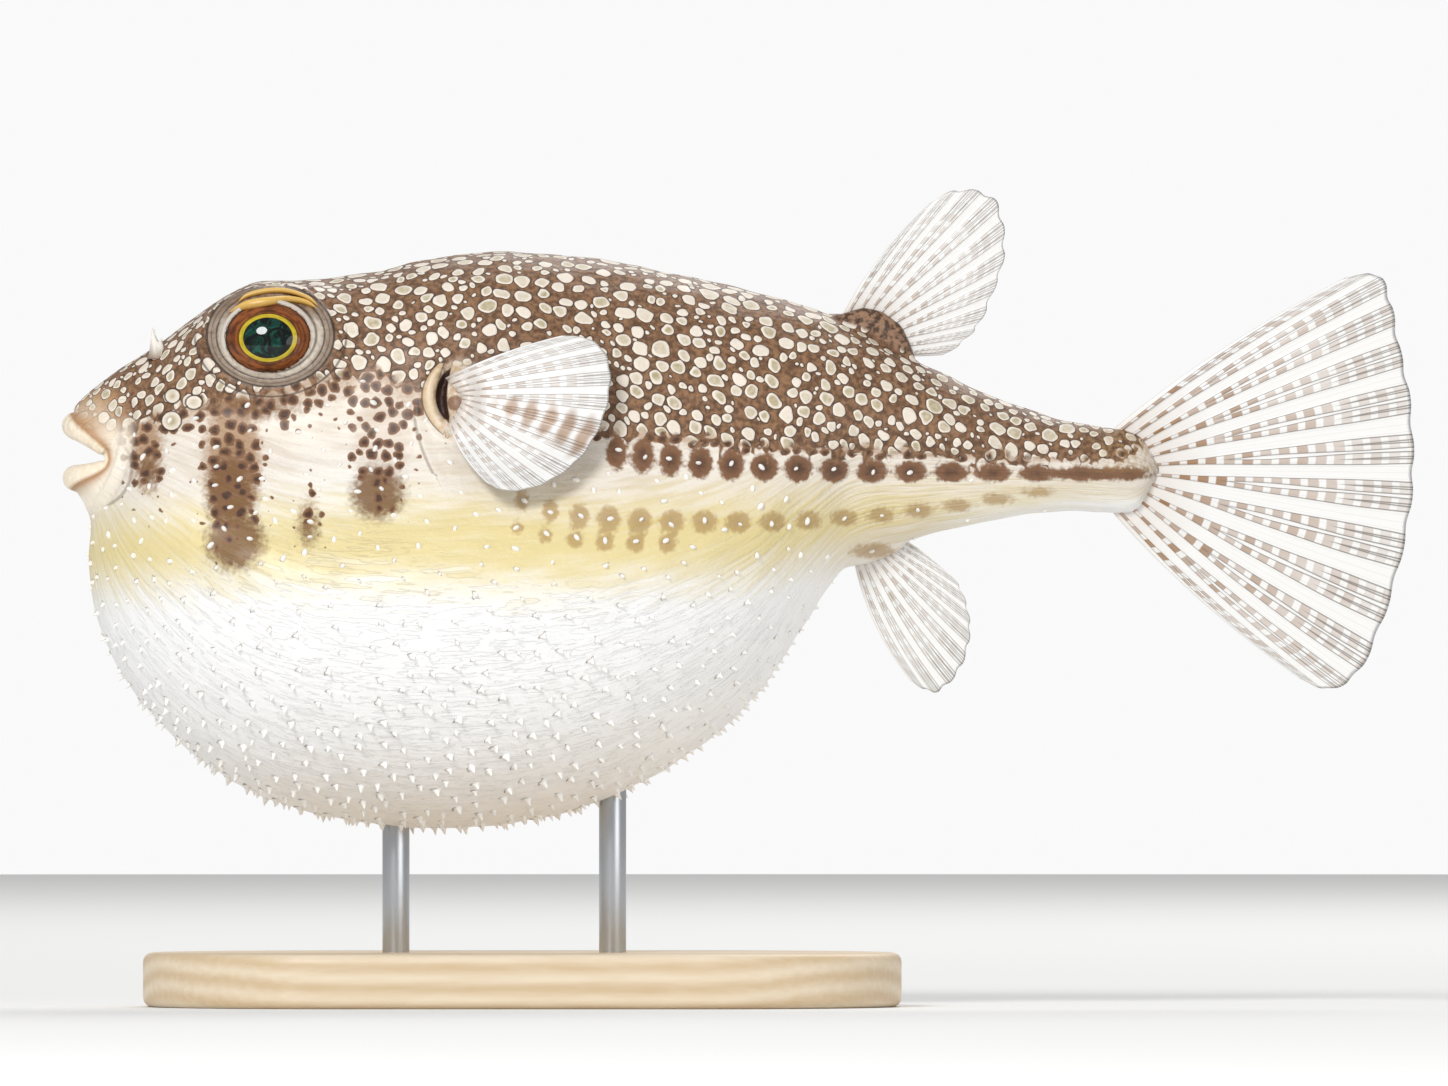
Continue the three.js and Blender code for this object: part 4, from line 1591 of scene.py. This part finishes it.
    def bars(self) -> None:
        """Lays on the soft brown of the cheek bars and the smudges at their feet."""
        node, mark = self.paint.node, self.mark
        bar = node("MapRange", self.frayed(mark["bars"], 2.0), -0.4, 1.4, 0.0, 0.8)
        rear = node("MapRange", mark["length"], -50.0, -44.0, 1.0, 0.3, **LINEAR)
        bar = node("Math.MULTIPLY", bar, rear)
        fringe = node("MapRange", self.frayed(mark["fringe"], 0.6), 0.35, 1.0, 0.0, 0.6)
        bar = node("Math.MAXIMUM", bar, fringe)
        self.paint.mix(bar, self.bar)
        self.paint.cover(self.frayed(mark["smudge"], 2.2), -0.5, 1.5, self.smudge, 0.92)

    def dots(self) -> None:
        """Lays on the dark dots of bars and fringe, and the row of large blotches."""
        paint, node, mark = self.paint, self.paint.node, self.mark
        upright = node("CombineXYZ", mark["length"], mark["level"])
        upright = node("VectorMath.MULTIPLY_ADD", self.shift, (0.7, 0.7, 0.0), upright)
        cells = node("TexVoronoi", {"Vector": upright, "Scale": 1 / self.dot_cell, "Randomness": 0.65})
        luck = node("SeparateColor", cells.outputs["Color"])
        fringe = node("Math.MULTIPLY", mark["fringe"], 3.8)
        crowd = node("Math.ADD", mark["bars"], 1.3)
        crowd = node("Math.MAXIMUM", fringe, crowd)
        size = node("Math.MULTIPLY_ADD", luck.outputs[0], 0.5, -0.26)
        size = node("Math.MULTIPLY_ADD", crowd, 0.3, size)
        size = node("Math.MINIMUM", size, self.dot_most)
        inside = node("Math.MULTIPLY_ADD", cells.outputs["Distance"], -self.dot_cell, size)
        dots = (self.frayed(inside, 0.25), (0.12, 0.45), (-0.04, 0.1))
        blotches = (self.frayed(mark["blotch"], 0.9), (0.2, 1.5), (-0.15, 0.3))
        for depth, deep, edge in (dots, blotches):
            paint.cover(depth, *edge, paint.blend(self.blotch, depth, *deep, self.blotch_deep))

    def back(self) -> None:
        """Lays on the brown net, darkest in a thin line round each spot, and the spots in it."""
        paint, node = self.paint, self.paint.node
        depth, tone = self.spots
        net = node("Mix", self.grain, self.net_dark, self.net_light)
        net = paint.blend(net, self.mark["muzzle"], 0.4, 1.0, self.peach, 0.6, **LINEAR)
        net = paint.blend(net, depth, -self.rim_width, -0.04, self.rim)
        core = node("MapRange", depth, 0.12, 0.42)
        fleck = node("MapRange", self.fine, 0.3, 0.6, 0.55, 1.0, **LINEAR)
        for value in (tone, fleck):
            core = node("Math.MULTIPLY", core, value)
        spot = node("Mix", core, self.pale, self.olive)
        paint.mix(self.spread, paint.blend(net, depth, -0.03, 0.05, spot))

    def stem(self) -> None:
        """Adds the tan end of the tail stem, the snout's large pale spots and the fin's brown lobe."""
        paint, node, mark = self.paint, self.paint.node, self.mark
        stem = node("MapRange", mark["length"], 37.0, 43.0, 0.0, 0.55)
        above = node("MapRange", mark["level"], 38.6, 39.8)
        for value in (above, self.grain):
            stem = node("Math.MULTIPLY", stem, value)
        paint.mix(stem, self.ochre)
        paint.cover(mark["pearl"], -0.12, 0.0, self.rim, 0.9)
        heart = node("MapRange", mark["pearl"], 0.15, 0.9, 0.1, 0.9)
        paint.cover(mark["pearl"], 0.04, 0.16, node("Mix", heart, self.pale, self.olive))
        flesh = paint.blend(self.lobe_dark, self.fine, 0.4, 0.62, self.lobe)
        paint.cover(mark["lobe"], 0.1, 0.4, flesh)

    def eye_ring(self) -> None:
        """Adds the bare skin round the eye: a brown brow, and grey folds with painted shade in their creases.
        """
        paint, node, mark = self.paint, self.paint.node, self.mark
        even = node("MapRange", self.fine, 0.2, 0.8, **LINEAR)
        inner = node("MapRange", mark["orbit"], 0.86, 0.78)
        even = node("Math.MAXIMUM", inner, even)
        fold = node("Mix", even, self.ring, self.ring_light)
        brow = node("Mix", self.grain, self.net_dark, self.net_light)
        fold = paint.blend(fold, mark["over"], 0.3, 0.7, brow, 0.85)
        fold = paint.blend(fold, mark["orbit"], 0.84, 0.9, self.ring_outer, 0.65)
        paint.cover(mark["orbit"], 1.02, 0.99, fold)
        under = node("MapRange", mark["over"], 0.3, -0.1)
        # Painted shade in each crease round the eye.
        for radius, half, strength in self.creases:
            off = node("Math.ADD", mark["orbit"], -radius)
            off = node("Math.ABSOLUTE", off)
            off = node("MapRange", off, half * 0.4, half * 1.6, strength, 0.0)
            if radius > self.crease_under:
                off = node("Math.MULTIPLY", off, under)
            paint.mix(off, self.crease_shade)

    def gill(self) -> None:
        """Adds the gill flap with a painted highlight along its middle and painted shade along its edge, the
        slit darkened with painted shade, the fleshy root of the pectoral fin, and painted shade along the
        folds of skin.
        """
        paint, node, mark = self.paint, self.paint.node, self.mark
        edge, fold = (node("Math.ABSOLUTE", mark[name]) for name in ("flap", "fold"))
        tan = paint.blend(self.flap, mark["flap"], 0.1, 0.6, self.flap_highlight)
        flesh = node("Mix", self.grain, self.flap, self.cream)
        for parts in (
            (mark["flap"], -0.05, 0.1, tan, 0.9),
            (edge, 0.14, 0.03, self.crease_shade, 0.75),
            (mark["shoulder"], -0.3, 0.8, flesh, 0.9),
            (self.frayed(mark["mole"], 0.4), -0.05, 0.2, self.blotch, 0.9),
            (mark["slit"], -0.08, 0.1, self.slit),
            (fold, 0.3, 0.06, self.fold, 0.55),
        ):
            paint.cover(*parts)

    def lips(self) -> None:
        """Adds lips mottled with a paler tone, painted shade in their creases, and painted shade inside the
        mouth.
        """
        paint, node, mark = self.paint, self.paint.node, self.mark
        under = node("MapRange", mark["net"], 2.0, -1.0, 0.0, 0.75)
        under = node("Math.MULTIPLY", under, mark["muzzle"])
        lips = paint.blend(self.lip, self.fine, 0.2, 0.8, self.lip_light, **LINEAR)
        # Painted shade in the creases where the lip rolls in.
        crease = node("Math.MINIMUM", mark["crease"], 1.0)
        lips = node("Mix", crease, lips, self.lip_crease_shade)
        paint.mix(under, self.lip_light)
        paint.mix(mark["lip"], lips)
        # Painted shade inside the mouth, darkest down the throat.
        paint.mix(mark["inside"], self.throat)

    def spines(self) -> None:
        """Whitens the spines above a grey foot, which is painted shade round each spine's base."""
        white = self.paint.blend(self.spine_foot_shade, self.mark["tip"], 0.05, 0.8, self.spine)
        self.paint.cover(self.mark["tip"], 0.01, 0.02, white, 0.9, **LINEAR)


@dataclass(frozen=True)
class EyeFinish:
    """A wet fish eye: a dark pupil with painted blue-green reflections, bright yellow rim and chestnut iris.
    """

    pupil: float = 0.57
    yellow: float = 0.68
    iris_dark: str = "#4f2710"
    iris_light: str = "#8e4f22"
    pupil_dark: str = "#010504"
    pupil_painted_reflection: str = "#0a4a3c"
    gold_dark: str = "#7c680c"
    gold_light: str = "#e2ca36"
    rim_line: str = "#120906"
    gold_line: str = "#3a1c08"
    pupil_line: str = "#151004"
    line: float = 0.02

    def material(self) -> bpy.types.Material:
        """Builds the material from the eye's own round coordinates.

        Returns:
            The material.
        """
        # A fish's cornea, polished by water: one sharp highlight, and dull colours deep below it.
        paint = Paint("wet fish eye")
        node = paint.node
        names = ("off", "spoke", "across", "upward")
        mark = {name: node("Attribute", attribute_name=name).outputs["Fac"] for name in names}
        spokes = node("Math.MULTIPLY", mark["spoke"], 1.6)
        rings = node("Math.MULTIPLY", mark["off"], 9.0)
        rays = node("CombineXYZ", spokes, rings)
        flat = node("CombineXYZ", mark["across"], mark["upward"])
        grain = node("TexNoise", {"Vector": rays, "Scale": 1.4, "Detail": 4.0})
        paint.colour = paint.blend(self.iris_dark, grain, 0.3, 0.68, self.iris_light)
        # Painted reflection: soft blue-green swirls over the dark pupil.
        reflection_swirls = {"Vector": flat, "Scale": 2.2, "Detail": 3.0, "Distortion": 2.0}
        reflection_swirl = node("TexNoise", reflection_swirls)
        pupil = paint.blend(self.pupil_dark, reflection_swirl, 0.45, 0.75, self.pupil_painted_reflection)
        gold = node("Mix", grain, self.gold_dark, self.gold_light)
        zones = (
            (0.92, 1.02, self.rim_line),
            (self.yellow + 1.5 * self.line, self.yellow + 0.5 * self.line, self.gold_line),
            (self.yellow + 0.5 * self.line, self.yellow - 0.5 * self.line, gold),
            (self.pupil + self.line, self.pupil, self.pupil_line),
            (self.pupil, self.pupil - self.line, pupil),
        )
        for zone in zones:
            paint.cover(mark["off"], *zone)
        return paint.finish(
            {"Roughness": 0.45, "Specular IOR Level": 0.0, "Coat Weight": 0.75, "Coat Roughness": 0.02}
        )


@dataclass(frozen=True)
class ShadedRidgeFinish:
    """Bare skin of a fold, with painted shade along one side and a painted highlight along the other."""

    name: str
    dark: str
    light: str
    start: float
    full: float
    rough: float

    def material(self) -> bpy.types.Material:
        """Builds the material from the fold's own ridge coordinate.

        Returns:
            The material.
        """
        # Bare fish skin drawn tight over a fold: smooth and slightly wet. Its dark side is painted shade and
        # its light crest a painted highlight.
        paint = Paint(self.name, self.dark)
        ridge = paint.node("Attribute", attribute_name="ridge").outputs["Fac"]
        paint.cover(ridge, self.start, self.full, self.light, **LINEAR)
        return paint.finish({"Roughness": self.rough})


@dataclass(frozen=True)
class NostrilFinish:
    """White nasal skin, brown towards its foot, with painted shade inside the scoop."""

    foot: str = "#8d7460"
    tip: str = "#ece7de"
    # Painted shade inside the scoop.
    inner: str = "#5a4436"

    def material(self) -> bpy.types.Material:
        """Builds the material from the flap's inner and rise coordinates.

        Returns:
            The material.
        """
        # A thin flap of bare fish skin, grown smooth: its pale edge catches the light. The brown inside is
        # painted shade in the scoop.
        paint = Paint("white nasal skin", self.foot)
        inner = paint.node("Attribute", attribute_name="inner").outputs["Fac"]
        rise = paint.node("Attribute", attribute_name="rise").outputs["Fac"]
        paint.cover(rise, 0.0, 0.7, self.tip, **LINEAR)
        # Painted shade inside the scoop.
        paint.mix(inner, self.inner)
        return paint.finish({"Roughness": 0.4})


@dataclass(frozen=True)
class FinFinish:
    """Thin fin skin over bony rays, whitish with rows of small brown bars."""

    rays: int
    bars: float
    strength: float
    blush: float
    belt: float
    line_share: float
    membrane: str = "#eae9e7"
    web: str = "#9a948d"
    line: str = "#5f564e"
    brown: str = "#966a3a"
    root: str = "#b89878"
    webs: float = 7.0
    belt_blots: float = 7.0

    def material(self) -> bpy.types.Material:
        """Builds the material from the fin's own ray and reach coordinates.

        Returns:
            The material.
        """
        # Fin skin stretched over branching rays: pale and smooth, with a fine line beside each ray.
        paint = Paint("fin membrane", self.membrane)
        node = paint.node
        ray, reach = (node("Attribute", attribute_name=name).outputs["Fac"] for name in ("ray", "reach"))
        web = node("Math.MULTIPLY", ray, self.rays * self.webs)
        web = node("Math.PINGPONG", web, 0.5)
        paint.cover(web, 0.07, 0.0, self.web, 0.22)
        paint.mix(self.belted(node, ray, reach), self.brown)
        paint.cover(reach, 0.3, 0.0, self.root, self.blush, **LINEAR)

        # Each ray splits in two and then in four, as the fin's shape does.
        whole = node("Math.MULTIPLY", ray, float(self.rays))
        cell = node("Math.FRACT", whole)
        cell = node("Math.SUBTRACT", cell, 0.5)
        cell = node("Math.ABSOLUTE", cell)
        first, second = (node("MapRange", reach, start, full, 0.0, apart) for start, full, apart in FORKS)
        branch = node("Math.SUBTRACT", cell, first)
        branch = node("Math.ABSOLUTE", branch)
        branch = node("Math.SUBTRACT", branch, second)
        twig = node("Math.ABSOLUTE", branch)
        width = node("MapRange", reach, 0.0, 1.0, 0.13, 0.05, **LINEAR)
        edge = node("Math.SUBTRACT", twig, width)
        edge = node("Math.ABSOLUTE", edge)

        # Small brown bars cross each ray, some of them fainter.
        number = node("Math.FLOOR", whole)
        offset = node("TexWhiteNoise", {"W": number}, noise_dimensions="1D")
        beat = node("Math.MULTIPLY_ADD", reach, self.bars, offset)
        order = node("Math.FLOOR", beat)
        luck = node("CombineXYZ", number, order)
        luck = node("TexWhiteNoise", {"Vector": luck}, noise_dimensions="2D")
        beat = node("Math.PINGPONG", beat, 0.5)
        bar = node("MapRange", beat, 0.16, 0.24)
        amount = node("Math.SUBTRACT", branch, width)
        amount = node("MapRange", amount, 0.012, -0.012)
        fade = node("MapRange", reach, 0.15, 0.98, self.strength, self.strength * 0.3, **LINEAR)
        pick = node("MapRange", luck, 0.0, 1.0, 0.55, 1.0, **LINEAR)
        for value in (bar, fade, pick):
            amount = node("Math.MULTIPLY", amount, value)
        paint.mix(amount, self.brown)
        paint.cover(edge, self.line_share, self.line_share * 0.2, self.line, 0.75)
        return paint.finish({"Roughness": 0.35})

    def belted(self, node: partial, ray: bpy.types.NodeSocket, reach: bpy.types.NodeSocket) -> bpy.types.Node:
        """Lays out the belt of brown blots that runs out along the middle of a pectoral fin.

        Args:
            node: adds a node to the material.
            ray: how far across the fin each place is.
            reach: how far out on its ray.

        Returns:
            How brown each place is.
        """
        middle = node("Math.MULTIPLY_ADD", reach, -0.1, -0.45)
        middle = node("Math.ADD", middle, ray)
        middle = node("Math.MULTIPLY", middle, 9.0)
        blots = node("Math.MULTIPLY", reach, self.belt_blots)
        blots = node("Math.PINGPONG", blots, 0.5)
        blots = node("Math.MULTIPLY_ADD", blots, -2.0, 1.0)
        blots = node("CombineXYZ", middle, blots)
        blots = node("VectorMath.LENGTH", blots)
        blots = node("MapRange", blots, 1.0, 0.35, 0.0, self.belt)
        beyond = node("MapRange", reach, 0.2, 0.35, **LINEAR)
        return node("Math.MULTIPLY", blots, beyond)


@dataclass(frozen=True)
class PlainFinish:
    """A material with one colour all over."""

    name: str
    colour: str
    rough: float
    metal: float = 0.0

    def material(self) -> bpy.types.Material:
        """Builds the material."""
        return Paint(self.name, self.colour).finish({"Roughness": self.rough, "Metallic": self.metal})


@dataclass(frozen=True)
class MapleFinish:
    """Planed and oiled maple."""

    light: str = "#e4d4bb"
    dark: str = "#cfb794"
    ring_pitch: float = 2.4
    pith: Spot3 = (0.0, -12.0, -34.0)
    along: float = 0.12
    fibre_per_mm: float = 1.5

    def material(self) -> bpy.types.Material:
        """Builds the material on the piece's own place in space.

        Returns:
            The material.
        """
        # Maple, planed and oiled: pale satin wood with soft, slightly wavy year rings along it.
        paint = Paint("oiled maple", self.light)
        node = paint.node
        where = node("TexCoord").outputs["Object"]
        where = node("VectorMath.SUBTRACT", where, tuple(part * MM for part in self.pith))
        where = node("VectorMath.MULTIPLY", where, (self.along, 1.0, 1.0))
        # A ring wave of scale 1 has twenty radians to the metre.
        rings = {"Scale": math.tau / 20 / (self.ring_pitch * MM), "Distortion": 5.0, "Detail Scale": 0.3}
        ring = node("TexWave", {"Vector": where} | rings, wave_type="RINGS", rings_direction="X")
        fibres = {"Vector": where, "Scale": self.fibre_per_mm / MM, "Detail": 2.0}
        grain = node("TexNoise", fibres, noise_dimensions="3D")
        ring = node("Math.MULTIPLY_ADD", grain, 0.9, ring)
        paint.cover(ring, 0.3, 1.5, self.dark, **LINEAR)
        return paint.finish({"Roughness": 0.45})


# ---- stand and studio


def solid_box(node: str) -> tuple[Array, Array]:
    """The lowest and the highest corner of a solid's box, in metres."""
    corners = np.array([corner[:] for corner in bpy.data.objects[node].bound_box])
    return corners.min(axis=0), corners.max(axis=0)


def soften(shape: bmesh.types.BMesh, edges: list[bmesh.types.BMEdge], radius: float, steps: int) -> None:
    """Rounds edges of a shape by a radius in millimetres."""
    size = radius * MM
    bmesh.ops.bevel(shape, geom=edges, offset=size, segments=steps, profile=0.5, affect="EDGES", material=-1)


@dataclass(frozen=True)
class Plate:
    """The flat wooden base, with round ends and a softened rim."""

    node: str = "stand_base"
    corner: float = 22.0
    edge: float = 1.0

    def build(self, material: bpy.types.Material) -> None:
        """Makes the base as large as its solid is.

        Args:
            material: its finish.
        """
        low, high = solid_box(self.node)
        shape = bmesh.new()
        at = Matrix.Translation((low + high) / 2) @ Matrix.Diagonal((*(high - low), 1.0))
        bmesh.ops.create_cube(shape, matrix=at)
        upright = [edge for edge in shape.edges if abs(edge.verts[0].co.z - edge.verts[1].co.z) > 1e-4]
        soften(shape, upright, self.corner, 24)
        rims = [edge for edge in shape.edges if abs(edge.calc_face_angle(0.0)) > 1.0]
        soften(shape, rims, self.edge, 4)
        place(self.node + "_plate", shape, material, "base_wood", self.node)


@dataclass(frozen=True)
class Rod:
    """One turned steel rod of the stand."""

    node: str
    radius: float = 1.5
    edge: float = 0.25
    sides: int = 48

    def build(self, material: bpy.types.Material) -> None:
        """Makes the rod as long and as far along as its solid is.

        Args:
            material: its finish.
        """
        low, high = solid_box(self.node)
        x, _, z = (low + high) / 2
        radius, long = self.radius * MM, high[2] - low[2]
        at = Matrix.Translation((x, 0.0, z))
        shape = bmesh.new()
        bmesh.ops.create_cone(
            shape, cap_ends=True, segments=self.sides, radius1=radius, radius2=radius, depth=long, matrix=at
        )
        rims = [edge for edge in shape.edges if abs(edge.verts[0].co.z - edge.verts[1].co.z) < 1e-6]
        soften(shape, rims, self.edge, 2)
        place(self.node + "_turned", shape, material, "rod_steel", self.node)


@dataclass(frozen=True)
class Teeth:
    """The beak's two plates, whose solids stay as they are."""

    nodes: tuple[str, ...] = ("upper_teeth", "lower_teeth")

    def dress(self, material: bpy.types.Material) -> None:
        """Gives the solids their finish.

        Args:
            material: the finish.
        """
        for node in self.nodes:
            bpy.data.objects[node].material_slots[0].material = material
            LOG.info("%s: %s", node, material.name)


@dataclass
class Studio:
    """A pale floor, soft lights and the camera, in metres."""

    distance: float = 4.0
    view_width: float = 0.1604
    middle: Spot2 = (-0.00166, 0.05136)
    floor_radius: float = 1.6
    sky: Spot2 = (0.5, 0.97)
    target: Spot3 = (0.0, 0.0, 0.05)
    lamps: tuple[tuple[str, Spot3, float, float], ...] = (
        ("key", (-0.55, -1.2, 0.85), 0.45, 13.0),
        ("fill", (0.9, -1.1, 0.12), 0.9, 4.5),
        ("back", (0.3, 0.9, 0.9), 0.9, 6.0),
    )

    def build(self) -> None:
        """Sets up the floor, the lights, the world and the camera."""
        shape = bmesh.new()
        bmesh.ops.create_circle(shape, cap_ends=True, segments=96, radius=self.floor_radius)
        # Uncoated paper, pressed smooth: no gloss, so that the floor shows only soft shadows.
        paper = PlainFinish("pale backdrop paper", "#efefee", rough=0.9).material()
        stand("floor", shape, paper)
        scene = bpy.context.scene
        world = bpy.data.worlds.new("studio")
        scene.world = world
        world.use_nodes = True
        tree = world.node_tree
        seen = add(tree, "LightPath").outputs["Is Camera Ray"]
        strength = add(tree, "MapRange", seen, 0.0, 1.0, *self.sky, **LINEAR)
        sky = tree.nodes["Background"].inputs
        fill(tree, [(sky["Color"], "#fdfdfd"), (sky["Strength"], strength)])
        for lamp in self.lamps:
            self.hang(*lamp)
        camera = bpy.data.cameras.new("camera")
        camera.sensor_width = 36.0
        camera.lens = camera.sensor_width * self.distance / self.view_width
        camera.clip_end = 100.0
        eye = bpy.data.objects.new("camera", camera)
        eye.location = (self.middle[0], -self.distance, self.middle[1])
        eye.rotation_euler = (math.pi / 2, 0, 0)
        scene.collection.objects.link(eye)
        scene.camera = eye
        scene.view_settings.view_transform = "Standard"

    def hang(self, name: str, spot: Spot3, size: float, power: float) -> None:
        """Hangs one soft lamp that points at the fish.

        Args:
            name: the lamp's name.
            spot: its place in metres.
            size: its width in metres.
            power: its power in watts.
        """
        data = bpy.data.lights.new(name, "AREA")
        data.shape = "DISK"
        data.size = size
        data.energy = power
        lamp = bpy.data.objects.new(name, data)
        lamp.location = spot
        way = Vector(self.target) - Vector(spot)
        lamp.rotation_euler = way.to_track_quat("-Z", "Y").to_euler()
        bpy.context.scene.collection.objects.link(lamp)


@dataclass
class Pufferfish:
    """The whole fish."""

    eye: Eye = field(default_factory=Eye)
    lids: tuple[Lid, ...] = (
        Lid("lower_lid_fold", (
            (-4.3, 2.85, 0.03), (-3.6, 3.1, 0.32), (-2.4, 3.55, 0.55), (-1.0, 3.8, 0.64), (0.6, 4.05, 0.54),
            (2.1, 4.25, 0.44), (3.6, 4.1, 0.36), (4.6, 3.75, 0.27), (5.3, 3.3, 0.03),
        )),
        Lid("upper_lid_fold", (
            (-3.4, 3.95, 0.03), (-2.4, 4.65, 0.27), (-1.0, 5.05, 0.34), (0.5, 5.25, 0.34), (2.0, 5.2, 0.3),
            (3.4, 4.85, 0.25), (4.6, 4.3, 0.22), (5.5, 3.55, 0.03),
        )),
    )
    tail: Fin = Fin(
        "tail_fin",
        ((42.6, 44.6), (45.8, 42.6), (46.4, 39.5), (45.4, 36.2), (42.2, 34.2)),
        ((67.4, 60.9), (70.9, 61.1), (72.3, 58.0), (73.2, 53.4), (74.3, 48.2), (74.8, 42.0), (74.6, 36.2),
         (73.4, 29.6), (71.4, 22.8), (68.8, 17.2), (65.6, 15.1), (62.4, 16.1)),
        rays=12, sink=2.2, thick=0.7, bars=15.0, strength=1.0, bow=(0.9, 0.9), line_width=0.1,
    )
    dorsal: Fin = Fin(
        "dorsal_fin",
        ((12.6, 58.2), (16.8, 56.0), (19.1, 52.0)),
        ((19.6, 67.6), (22.4, 69.9), (25.3, 70.6), (28.3, 69.6), (29.4, 66.4), (29.4, 62.8), (28.3, 59.3),
         (26.9, 56.0), (25.3, 54.0), (23.0, 52.2)),
        rays=10, sink=1.8, thick=0.55, bars=11.0, strength=0.6, scallop=0.4, bow=(0.5, 0.0),
    )
    anal: Fin = Fin(
        "anal_fin",
        ((18.1, 31.6), (15.8, 30.0), (13.1, 29.4)),
        ((22.0, 29.0), (24.2, 27.0), (25.4, 24.0), (25.6, 20.8), (24.4, 17.2), (21.9, 14.8), (19.2, 15.8)),
        rays=9, sink=1.6, thick=0.55, bars=10.0, strength=0.5, bow=(0.3, 1.1),
    )
    pectoral: Fin = Fin(
        "pectoral_fin",
        ((-31.3, 50.0), (-29.4, 47.0), (-31.4, 43.4)),
        ((-19.4, 54.3), (-16.9, 54.0), (-15.1, 52.9), (-14.2, 50.8), (-14.2, 48.2), (-14.8, 45.4),
         (-16.1, 42.6), (-18.0, 40.2), (-20.6, 38.3), (-23.2, 37.3), (-25.6, 37.1), (-27.6, 37.8)),
        rays=11, sink=1.2, thick=0.35, bars=9.0, strength=0.6, blush=0.4, scallop=0.15, belt=0.75,
        bow=(0.4, 0.5),
    )
    pectoral_off: Spot2 = (0.2, 4.2)
    missed: float = 3.0
    usual: float = 16.0

    def build(self) -> None:
        """Makes every piece of the fish in order."""
        skin = Skin(Body(), self.eye, Mouth(), Markings())
        finish = SkinFinish().material()
        skin.build(finish, ("head", "trunk", "tail_stem", "belly", "upper_lip", "lower_lip"))
        Prickles(skin).build(finish)
        eye_finish = EyeFinish().material()
        # Painted light: the lids are lit on top and shaded below, and the rim has painted shade along its
        # inner edge at the eyeball.
        lid_skin = ShadedRidgeFinish("golden lid skin", "#94681c", "#e2b961", start=-1.0, full=0.8, rough=0.35)
        flap_finish = NostrilFinish().material()
        rim_skin = ShadedRidgeFinish("grey rim skin", "#140d0a", "#c2b8ad", start=-0.8, full=-0.35, rough=0.4)
        lid_finish, rim_finish = lid_skin.material(), rim_skin.material()
        for side in Side:
            self.eye.build(side, eye_finish)
            Rim().build(self.eye, side, rim_finish)
            for lid in self.lids:
                lid.build(self.eye, skin, side, lid_finish)
            Nostril().build(skin, side, flap_finish)
        for fin in (self.tail, self.dorsal, self.anal):
            fin.build()
        for side in Side:
            fin = replace(self.pectoral, name=f"pectoral_fin_{side.name.lower()}")
            fin.build(partial(self.lean, skin, side))
        # Tooth enamel, worn smooth: a hard shine, yellower than the skin.
        Teeth().dress(PlainFinish("tooth enamel", "#efe6cf", rough=0.25).material())

    def lean(self, skin: Skin, side: Side, x: Array, z: Array, out: Array) -> Array:
        """Follows the swell of the flank and stands off it.

        Args:
            skin: the skin that the fin lies along.
            side: the side it is on.
            x: places along the fish.
            z: heights.
            out: how far out each place is on its ray.

        Returns:
            The place across the fish.
        """
        near, far = self.pectoral_off
        flank = np.array([skin.out_at(*spot, side) for spot in zip(x.ravel(), z.ravel())]).reshape(x.shape)
        # Where there is no skin beside the fin, the flank's usual place stands in.
        flank = np.where(flank < self.missed, self.usual, flank)
        return side.value * (flank + near + (far - near) * np.sqrt(np.broadcast_to(out, x.shape)))


def main() -> None:
    """Builds the pieces in order and reports each one."""
    logging.basicConfig(level=logging.INFO, format="%(name)s: %(message)s")
    Pufferfish().build()
    Plate().build(MapleFinish().material())
    # Stainless steel, turned and brushed: a clear but blurred reflection.
    steel = PlainFinish("brushed stainless steel", "#b9bcc0", rough=0.32, metal=1.0).material()
    for node in ("stand_rod_front", "stand_rod_rear"):
        Rod(node).build(steel)
    Studio().build()


if __name__ == "__main__":
    main()
